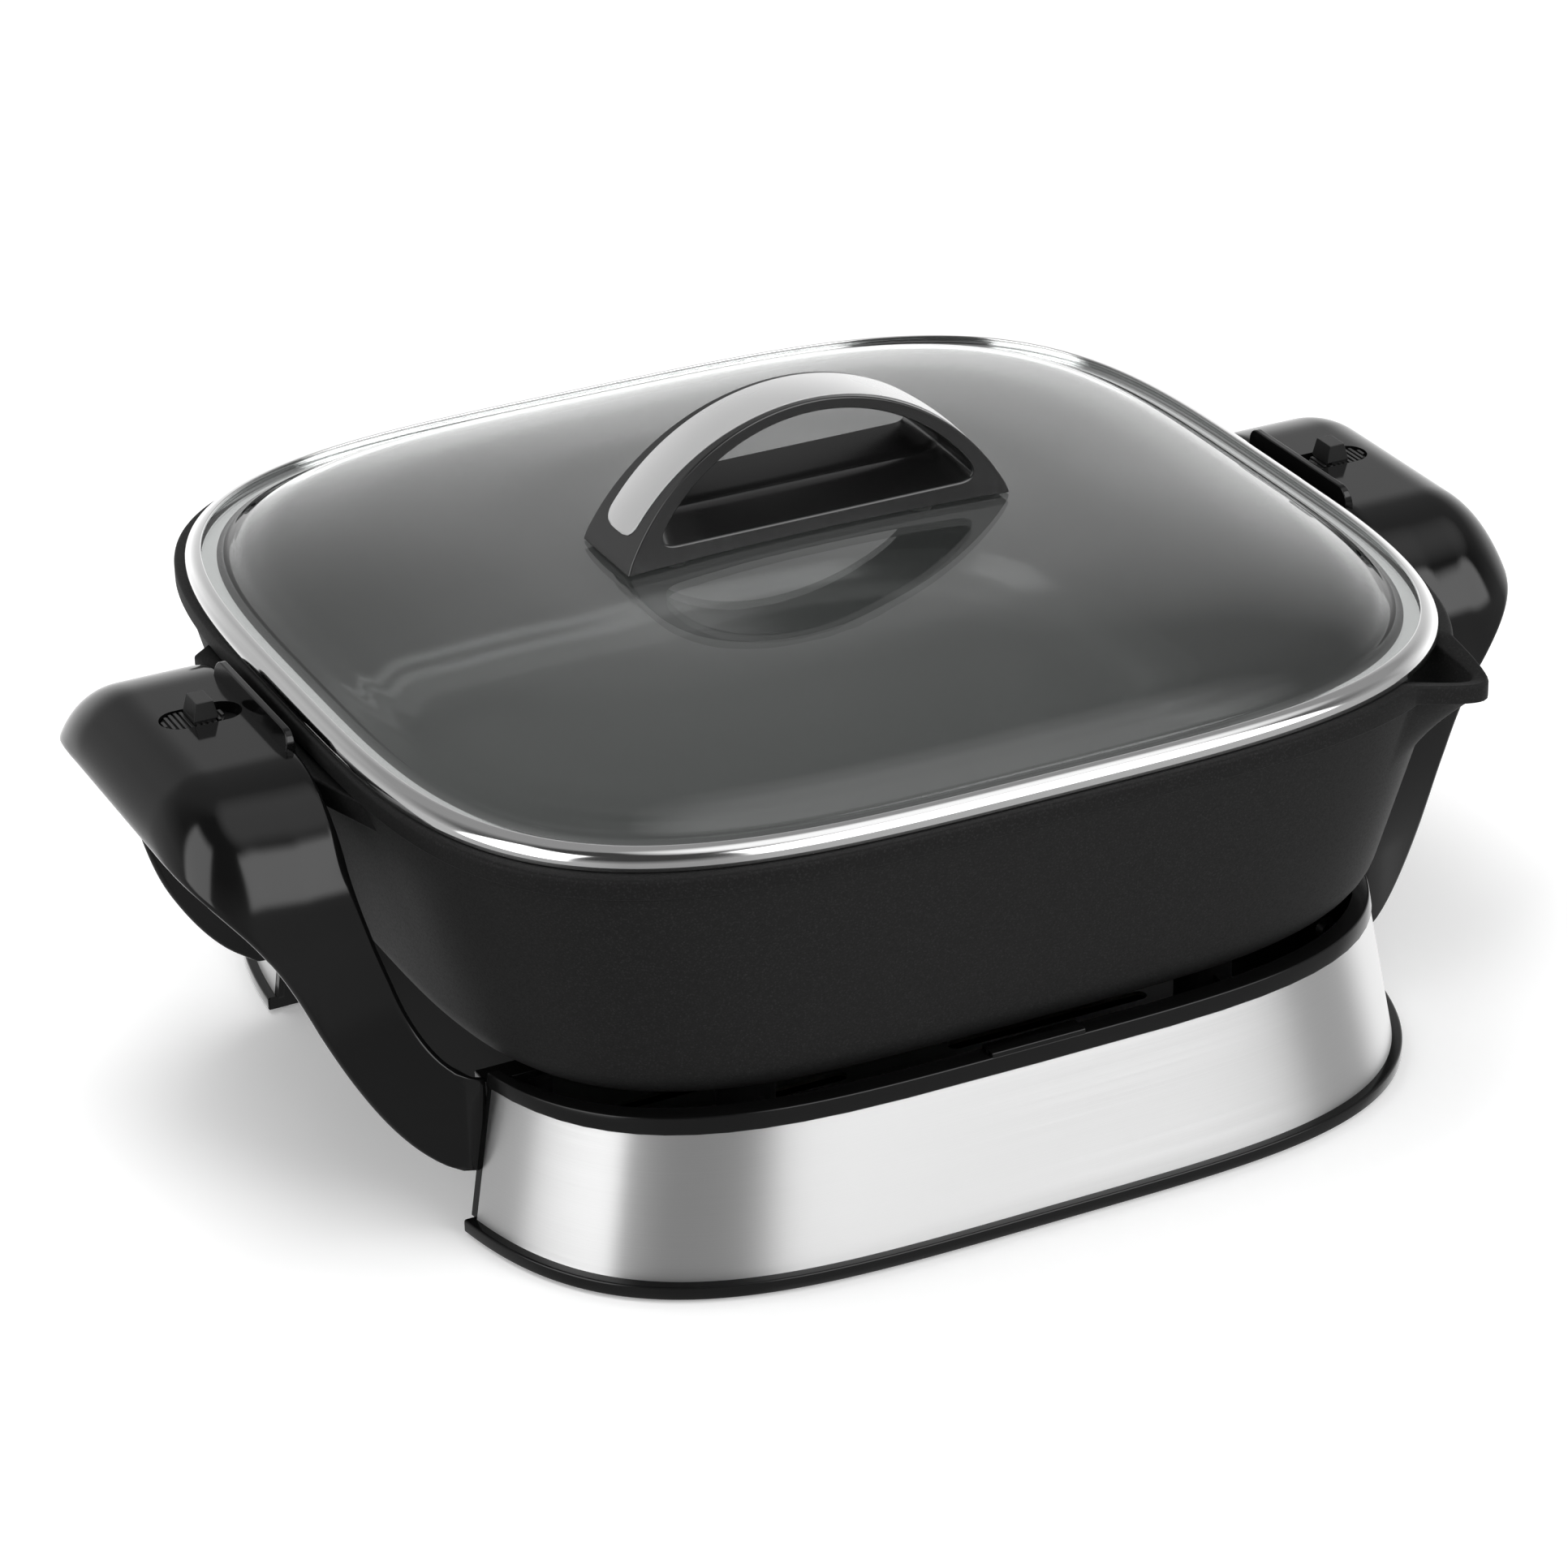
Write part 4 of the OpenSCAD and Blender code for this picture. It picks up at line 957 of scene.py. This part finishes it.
def draw_body():
    """Copy of the base's solid with its rim set down and its four support posts left as they are."""
    bm = bmesh.new()
    bm.from_mesh(frame["nodes"]["base_shell"].data)
    bmesh.ops.scale(bm, vec=(1 / MM, 1 / MM, 1 / MM), verts=bm.verts)
    for v in bm.verts:
        off_post = [abs(abs(c) - middle) for c, middle in zip(v.co, POST_MIDDLE)]
        if max(off_post) > POST_R + 0.1:
            v.co.z = lowered(v.co.y, v.co.z)
    piece("base_body", bm, "base", "base_black", "base_shell", sharp=30)


def draw_edge(name, bay, sign):
    """Black upright edges at both ends of a steel panel."""
    bm = bmesh.new()
    for side in (-1, 1):
        made = bmesh.ops.create_cube(bm, size=1)["verts"]
        for v in made:
            z = CROWN_Z if v.co.z > 0 else PANEL_Z
            y = bay + PANEL_MARGIN + 0.3 if v.co.y > 0 else bay - 1.4
            x = half_width_at(base_half(z), BASE_SQUARE, y) - (0.1 if v.co.x > 0 else 2.0)
            v.co = (side * x, sign * y, lowered(y, z))
    edge = piece(name, bm, "base", "base_black")
    round_edges(edge, 0.3)


draw_body()
draw_edge("front_panel_edges", BAY_FRONT, -1)
draw_edge("rear_panel_edges", BAY_BACK, 1)
draw_panel("front_steel", "front_panel", BAY_FRONT + PANEL_MARGIN, -1)
draw_panel("rear_steel", "rear_panel", BAY_BACK + PANEL_MARGIN, 1)
draw_flange("front_flange", BAY_FRONT, -1)
draw_flange("rear_flange", BAY_BACK, 1)
draw_crown("front_crown", BAY_FRONT, -1)
draw_crown("rear_crown", BAY_BACK, 1)


# Side handles, drawn for the right and mirrored for the left

KNEE = (HANDLE_IN - 8, FOOT_TOP + 29)
HIP = (HANDLE_IN + 15, FOOT_LOW + 50)
TIP = (HANDLE_OUT + 1, DECK_Z - CURL_R - 1.5)
SEAM = half_width_at(base_half(PANEL_Z), BASE_SQUARE, BAY_FRONT)
KNEE_FOOT = (SEAM - 6, CROWN_TOP - 5.6)
KNEE_LOW = (KNEE_FOOT, (SEAM + 5, KNEE_FOOT[1] + 0.5), (KNEE[0] - 3, KNEE[1] - 13), KNEE)
KNEE_HIGH = (KNEE, (KNEE[0] + 4, KNEE[1] + 14), (HANDLE_IN, KNEE[1] + 24), (HANDLE_IN, KNEE[1] + 38))
HIP_HIGH = (TIP, (TIP[0] - 13, TIP[1] - 11.5), (HIP[0] + 8, HIP[1] + 19), HIP)
HIP_LOW = (HIP, (HIP[0] - 12, HIP[1] - 28), (SEAM + 13, FOOT_LOW), (SEAM - 5, FOOT_LOW))
LEG_TOP = DECK_Z - SHOULDER_R
ARC_RUN = SHOULDER_R * math.pi / 2
LEG_RUN = 84.0
BACK_FLARE = 5.0


def leg_inside(z):
    """Inner edge of the handle at height z, from the side."""
    if z >= KNEE[1] + 38:
        return HANDLE_IN
    if z >= KNEE[1]:
        return bezier_at_height(KNEE_HIGH, z)
    if z >= KNEE_FOOT[1]:
        return bezier_at_height(KNEE_LOW, z)
    return KNEE_FOOT[0]


def leg_outside(z):
    """Outer, lower edge of the handle at height z, from the side."""
    return bezier_at_height(HIP_HIGH if z >= HIP[1] else HIP_LOW, z)


def low_edge(x):
    """Height of the handle's lower edge at x."""
    swapped = tuple((b, a) for a, b in HIP_HIGH)
    return bezier_at_height(swapped, min(x, TIP[0]))


def leg_reach(x, bay):
    """How far the handle runs to the front or back at x, seen from above."""
    seam = half_width_at(base_half(PANEL_Z), BASE_SQUARE, bay)
    corner = (SHOULDER_END - 3, HANDLE_OUT - CORNER_R)
    if x <= seam:
        return bay
    if x < corner[1]:
        curve = ((bay, seam), (mix(bay, SHOULDER_END, 0.2), seam + 9),
                 (mix(bay, SHOULDER_END, 0.75), seam + 19), corner)
        return bezier_at_height(curve, x)
    run = min(x - corner[1], CORNER_R)
    return corner[0] - CORNER_R + math.sqrt(CORNER_R ** 2 - run * run)


def curl(start, width):
    """Place across the deck: straight, then round the outer edge, then straight down."""
    turn_x = HANDLE_OUT - CURL_R
    past = start + width - turn_x
    if past <= 0:
        return start + width, 0.0
    a = past / CURL_R
    if a <= math.pi / 2:
        return turn_x + CURL_R * math.sin(a), CURL_R * (1 - math.cos(a))
    return HANDLE_OUT, CURL_R + past - CURL_R * math.pi / 2


def deck_width(start, fall):
    """Width across a row of the deck, down to the handle's lower edge."""
    low, high = 0.0, HANDLE_OUT - start + CURL_R
    for _ in range(40):
        width = (low + high) / 2
        x, drop = curl(start, width)
        if DECK_Z - fall - drop > low_edge(x):
            low = width
        else:
            high = width
    return low


ROW_WIDTHS = {}


def handle_place(u, v):
    """Point of the handle's outer skin: u across from the pan, v along from front foot to back foot."""
    along = (2 * v - 1) * (DECK_HALF + ARC_RUN + LEG_RUN)
    sign = math.copysign(1, along)
    bay = BAY_FRONT if along < 0 else BAY_BACK
    run = abs(along)
    if run <= DECK_HALF + ARC_RUN:
        b = max(0.0, run - DECK_HALF) / SHOULDER_R
        fall = SHOULDER_R * (1 - math.cos(b))
        start = leg_inside(DECK_Z - fall)
        if v not in ROW_WIDTHS:
            ROW_WIDTHS[v] = deck_width(start, fall)
        x, drop = curl(start, u * ROW_WIDTHS[v])
        reach = SHOULDER_END - 0.35 * max(0.0, SHOULDER_END - leg_reach(x, bay))
        flat = min(run, DECK_HALF)
        return Vector((x, sign * (flat + (reach - DECK_HALF) * math.sin(b)), DECK_Z - fall - drop))
    q = (run - DECK_HALF - ARC_RUN) / LEG_RUN
    z = mix(LEG_TOP, FOOT_LOW, q)
    flare = BACK_FLARE * ease((HIP[1] + 16 - z) / 40) if along > 0 else 0.0
    x = mix(leg_inside(z), leg_outside(z) + flare, u)
    reach = leg_reach(x, bay)
    start = SHOULDER_END - 0.35 * max(0.0, SHOULDER_END - reach)
    return Vector((x, sign * mix(start, reach, ease(1.5 * q)), z))


def shell_rings(along=176, across=36, arc=6):
    """Closed sections of the handle's wall with round edges, a ring of points for each row along it."""
    skin = []
    for i in range(along + 1):
        v = i / along
        line = [handle_place(j / across, v) for j in range(across + 1)]
        pull = SHELL / 2 / sum((b - a).length for a, b in zip(line, line[1:]))
        skin.append([handle_place(mix(pull, 1 - pull, j / across), v) for j in range(across + 1)])
    half = SHELL / 2
    turns = [math.pi * k / arc for k in range(1, arc)]
    rings = []
    for i, line in enumerate(skin):
        before, after = skin[max(i - 1, 0)], skin[min(i + 1, along)]
        sides = [(line[min(j + 1, across)] - line[max(j - 1, 0)]).normalized() for j in range(across + 1)]
        normals = [side.cross(after[j] - before[j]).normalized() for j, side in enumerate(sides)]
        inside = [p - n * SHELL for p, n in zip(line, normals)]
        edges = []
        for end, sign in ((-1, 1), (0, -1)):
            middle = line[end] - normals[end] * half
            edges.append([middle + sign * half * (normals[end] * math.cos(t) + sides[end] * math.sin(t))
                          for t in turns])
        rings.append(line + edges[0] + inside[::-1] + edges[1])
    return rings


def on_side(bm, side):
    """The right-hand drawing, or its mirror image for the left."""
    if side < 0:
        bmesh.ops.scale(bm, vec=(-1, 1, 1), verts=bm.verts)
        bmesh.ops.reverse_faces(bm, faces=bm.faces)
    return bm


def block(bm, low, high):
    """Box between two corners."""
    made = bmesh.ops.create_cube(bm, size=1)["verts"]
    for v in made:
        v.co = tuple(mix(a, b, c + 0.5) for a, b, c in zip(low, high, v.co))
    return made


def long_round(inner, outer, half_w, low, high):
    """Upright bar with round ends, between two places across the deck."""
    middle = (inner + outer) / 2
    straight = (outer - inner) / 2 - half_w

    def place(angle, z):
        x, y = half_w * math.cos(angle), half_w * math.sin(angle)
        return Vector((middle + x + math.copysign(straight, x), LATCH_Y + y, z))

    return ring_stack([low, high], place, 64)


def cut_slot(shell, side):
    """Latch slot through the deck, cut by a long round-ended peg."""
    bm = long_round(SLOT_IN, SLOT_OUT, SLOT_HALF_W, DECK_Z - 2 * SHELL, DECK_Z + SHELL)
    peg = piece("slot_peg", on_side(bm, side), "base", "handle_black")
    cut = shell.modifiers.new("latch slot", "BOOLEAN")
    cut.operation = "DIFFERENCE"
    cut.solver = "EXACT"
    cut.object = peg
    bpy.context.view_layer.update()
    shaped = shell.evaluated_get(bpy.context.evaluated_depsgraph_get())
    mesh = bpy.data.meshes.new_from_object(shaped)
    mesh.shade_smooth()
    mesh.set_sharp_from_angle(angle=math.radians(60))
    shell.modifiers.clear()
    shell.data = mesh
    bpy.data.objects.remove(peg)


def draw_side_handle(name, node, side, rings):
    """Hollow handle with its slot, the wall under its inner edge, its guard wall and its feet in the base."""
    count = len(rings[0])
    bm = ring_stack(rings, lambda angle, ring: ring[round(angle / (2 * math.pi) * count) % count], count)
    shell = piece(name + "_shell", on_side(bm, side), "base", "handle_black", node, sharp=60)
    cut_slot(shell, side)
    round_edges(shell, 0.3, 2, 60)

    wall_low = DECK_Z - INNER_WALL_FALL

    def wall_place(u, v):
        y = mix(-1, 1, u) * (SHOULDER_END - 1.2)
        run = max(0.0, abs(y) - DECK_HALF) / SHOULDER_R
        top = min(DECK_Z - SHELL - 2.6, DECK_Z - 1 - SHOULDER_R * (1 - math.sqrt(1 - run * run)))
        return Vector((HANDLE_IN + INNER_WALL / 2, y, mix(wall_low, max(top, wall_low + 0.5), v)))

    wall = piece(name + "_inner_wall", on_side(sheet(60, 8, wall_place), side), "base", "handle_black",
                 outwards=False)
    thick = wall.modifiers.new("wall", "SOLIDIFY")
    thick.thickness = INNER_WALL * MM
    thick.offset = 0
    round_edges(wall, 0.3)

    bm = bmesh.new()
    made = block(bm, (HANDLE_IN, -FENCE_HALF, DECK_Z - SHELL),
                 (HANDLE_IN + FENCE_FOOT_W, FENCE_HALF, DECK_Z + FENCE_HEIGHT))
    for v in made:
        if v.co.x > HANDLE_IN + 1 and v.co.z > DECK_Z:
            v.co.x = HANDLE_IN + FENCE_TOP_W
    upper = [e for e in bm.edges if all(v.co.z > DECK_Z for v in e.verts)
             and abs(e.verts[0].co.x - e.verts[1].co.x) > 0.1]
    bmesh.ops.bevel(bm, geom=upper, offset=FENCE_END_R, segments=8, profile=0.5, affect="EDGES", material=-1)
    fence = piece(name + "_guard_wall", on_side(bm, side), "base", "handle_black", sharp=40)
    round_edges(fence, 0.35)

    bm = bmesh.new()
    low, out = FOOT_LOW + 0.2, SEAM - 5.5
    block(bm, (FOOT_IN, -BAY_FRONT + 0.2, low), (out, -BAY_FRONT + FOOT_THICK, FOOT_TOP))
    block(bm, (FOOT_IN, BAY_BACK - FOOT_THICK, low), (out, BAY_BACK - 0.2, FOOT_TOP))
    feet = piece(name + "_feet", on_side(bm, side), "base", "handle_black")
    round_edges(feet, 0.5)


HANDLE_RINGS = shell_rings()
draw_side_handle("right", "right_handle", 1, HANDLE_RINGS)
draw_side_handle("left", "left_handle", -1, HANDLE_RINGS)


# Slide latches

def draw_latch(name, side):
    """Ridged slider with a thumb nub, on a carrier under the deck with a tongue towards the pan."""
    bm = bmesh.new()
    top = CARRIER_Z + CARRIER_THICK
    block(bm, (CARRIER_IN, LATCH_Y - CARRIER_HALF_W, CARRIER_Z), (CARRIER_OUT, LATCH_Y + CARRIER_HALF_W, top))
    block(bm, (TONGUE_IN, LATCH_Y - SLOT_HALF_W, TONGUE_Z), (CARRIER_IN + 1, LATCH_Y + SLOT_HALF_W, top))
    carrier = piece(name + "_carrier", on_side(bm, side), name, "latch_black", name)
    round_edges(carrier, 0.3)

    end_r = SLOT_HALF_W - SLIDER_GAP
    middle = (SLIDER_IN + SLIDER_OUT) / 2
    straight = (SLIDER_OUT - SLIDER_IN) / 2 - end_r
    bm = long_round(SLIDER_IN, SLIDER_OUT, end_r, top - 0.5, DECK_Z - 1.0)
    for k in range(-6, 7):
        x = middle + k * RIDGE_PITCH
        past = max(0.0, abs(x - middle) + 0.5 - straight)
        half = math.sqrt(max(end_r ** 2 - past ** 2, 0.0)) - 0.2
        if half > 1:
            block(bm, (x - 0.5, LATCH_Y - half, DECK_Z - 1.2), (x + 0.5, LATCH_Y + half, DECK_Z - 0.3))
    nub_x = mix(SLIDER_IN, SLIDER_OUT, NUB_PLACE)
    block(bm, (nub_x - 2, LATCH_Y - 4.2, DECK_Z - 1.2), (nub_x + 3.5, LATCH_Y + 4.2, DECK_Z + 1))
    made = block(bm, (nub_x - NUB_HALF[0], LATCH_Y - NUB_HALF[1], DECK_Z + 0.3),
                 (nub_x + NUB_HALF[0], LATCH_Y + NUB_HALF[1], DECK_Z + NUB_HEIGHT))
    for v in made:
        if v.co.z > DECK_Z + 1:
            v.co.x += math.copysign(NUB_TAPER[0], nub_x - v.co.x)
            v.co.y += math.copysign(NUB_TAPER[1], LATCH_Y - v.co.y)
    slider = piece(name + "_slider", on_side(bm, side), name, "latch_black")
    round_edges(slider, 0.18, 2)


draw_latch("right_latch", 1)
draw_latch("left_latch", -1)


# Studio

def lamp(name, place, aim, size, power):
    light = bpy.data.lights.new(name, "AREA")
    light.shape = "RECTANGLE"
    light.size, light.size_y = size
    light.energy = power
    obj = add_object(name, light)
    obj.location = place
    obj.rotation_euler = (Vector(aim) - Vector(place)).to_track_quat("-Z", "Y").to_euler()
    obj.visible_glossy = False
    obj.visible_transmission = False


def stage_sheet(name, size, z):
    """Flat square sheet of the studio, with a dull material of its own."""
    bm = bmesh.new()
    bmesh.ops.create_grid(bm, x_segments=1, y_segments=1, size=size)
    bmesh.ops.translate(bm, vec=(0, 0, z), verts=bm.verts)
    mesh = mesh_from(name, bm)
    obj = add_object(name, mesh)
    mat, tree, shader = material(name)
    settle(shader, {"Roughness": 0.9, "Specular IOR Level": 0.0})
    mesh.materials.append(mat)
    return obj, tree, shader


def studio():
    """Pale floor with a black sheet of painted shade under the foot, in a white surround with three soft
    boxes.
    """
    floor, tree, shader = stage_sheet("studio_floor", 6, 0)
    floor.visible_glossy = False
    settle(shader, {"Base Color": grey(0.93), "Emission Color": grey(1.0)})
    path = tree.nodes.new("ShaderNodeLightPath")
    glow = span(tree, path.outputs["Is Camera Ray"], 0.0, 1.0, 0.0, 0.24)
    tree.links.new(glow, shader.inputs["Emission Strength"])
    # Painted shade: a black sheet under the foot, where there is only shade.
    under = stage_sheet("studio_painted_shade_under_foot", 0.12, 0.0003)[2]
    settle(under, {"Base Color": grey(0.0)})
    surround()
    lamp("top soft box", (-0.2, 0.3, 1.5), (0, 0, 0.1), (1.2, 0.9), 12)
    lamp("left soft box", (-1.45, -0.40, 0.65), (0, 0, 0.1), (1.1, 1.0), 2)
    lamp("right soft box", (0.65, -1.40, 0.65), (0, 0, 0.1), (1.0, 1.0), 14)


def surround():
    """White for the camera; for reflections a studio with soft boxes, white low at the back and dim above."""
    world = bpy.data.worlds.new("studio")
    bpy.context.scene.world = world
    world.use_nodes = True
    world.cycles.sampling_method = "NONE"
    tree = world.node_tree
    direction = coordinates(tree, "Generated")

    ahead = vector_maths(tree, "NORMALIZE", vector_maths(tree, "MULTIPLY", direction, (1, 1, 0)))

    def toward(vector, azimuth, elevation, wide, narrow):
        """1 near a direction and 0 away from it, with a soft edge between two angles in degrees."""
        turn = math.radians(azimuth)
        lift = math.radians(elevation)
        aim = (math.cos(turn) * math.cos(lift), math.sin(turn) * math.cos(lift), math.sin(lift))
        near = vector_maths(tree, "DOT_PRODUCT", vector, aim)
        return span(tree, near, math.cos(math.radians(wide)), math.cos(math.radians(narrow)), 0, 1)

    height = tree.nodes.new("ShaderNodeSeparateXYZ")
    tree.links.new(direction, height.inputs[0])

    def lifted(low, high):
        """0 to 1 between two elevations in degrees, either way up."""
        ends = (math.sin(math.radians(low)), math.sin(math.radians(high)))
        return span(tree, height.outputs["Z"], *ends, 0, 1)

    colour, below = grey(0.45), grey(0.6)
    for azimuth, wide, narrow, value, low_value in (
            (56, 66, 44, 1.2, 0.6), (140, 26, 8, 0.52, 0.52), (-162, 34, 24, 0.42, 0.55),
            (-112, 28, 14, 0.33, 0.46), (-60, 32, 23, 0.45, 1.0)):
        mask = toward(ahead, azimuth, 0, wide, narrow)
        colour = blend_colour(tree, mask, colour, grey(value))
        below = blend_colour(tree, mask, below, grey(low_value))
    colour = blend_colour(tree, lifted(-34, -44), colour, below)
    above = blend_colour(tree, toward(ahead, 60, 0, 100, 60), grey(0.05), grey(0.3))
    colour = blend_colour(tree, lifted(8, 36), colour, above)
    for azimuth, wide, narrow, low, high, value in ((-63, 28, 22, 13, 55, 3.6), (-174, 26, 20, 3, 55, 3.2)):
        mask = maths(tree, "MULTIPLY", lifted(low - 3, low + 3), lifted(high + 4, high - 4))
        mask = maths(tree, "MULTIPLY", mask, toward(ahead, azimuth, 0, wide, narrow))
        colour = blend_colour(tree, mask, colour, grey(value))
    colour = blend_colour(tree, toward(direction, -20, 72, 26, 12), colour, grey(1.1))

    path = tree.nodes.new("ShaderNodeLightPath")
    mirrored = maths(tree, "MAXIMUM", path.outputs["Is Glossy Ray"], path.outputs["Is Transmission Ray"])
    seen = blend_colour(tree, mirrored, grey(1.0), colour)
    tree.links.new(seen, tree.nodes["Background"].inputs["Color"])
    strength = span(tree, path.outputs["Is Diffuse Ray"], 0.0, 1.0, 1.0, 0.6)
    tree.links.new(strength, tree.nodes["Background"].inputs["Strength"])


def camera():
    """Camera at the viewing angle of the photograph."""
    azimuth = math.radians(-25.778)
    elevation = math.radians(27.054)
    roll = math.radians(-1.361)
    back = Vector((math.sin(azimuth) * math.cos(elevation), -math.cos(azimuth) * math.cos(elevation),
                   math.sin(elevation)))
    level_right = Vector((0, 0, 1)).cross(back).normalized()
    level_up = back.cross(level_right)
    right = level_right * math.cos(roll) + level_up * math.sin(roll)
    up = level_up * math.cos(roll) - level_right * math.sin(roll)
    data = bpy.data.cameras.new("camera")
    data.sensor_width = 36
    data.sensor_height = 36
    data.lens = 6463.97 / 1932 * 36
    data.clip_end = 20
    obj = add_object("camera", data)
    turn = obj.matrix_world.to_3x3()
    turn.col[0], turn.col[1], turn.col[2] = right, up, back
    obj.rotation_euler = turn.to_euler()
    obj.location = (-0.5810, -1.1900, 0.7415)
    bpy.context.scene.camera = obj


studio()
camera()
bpy.context.scene.view_settings.view_transform = "Standard"
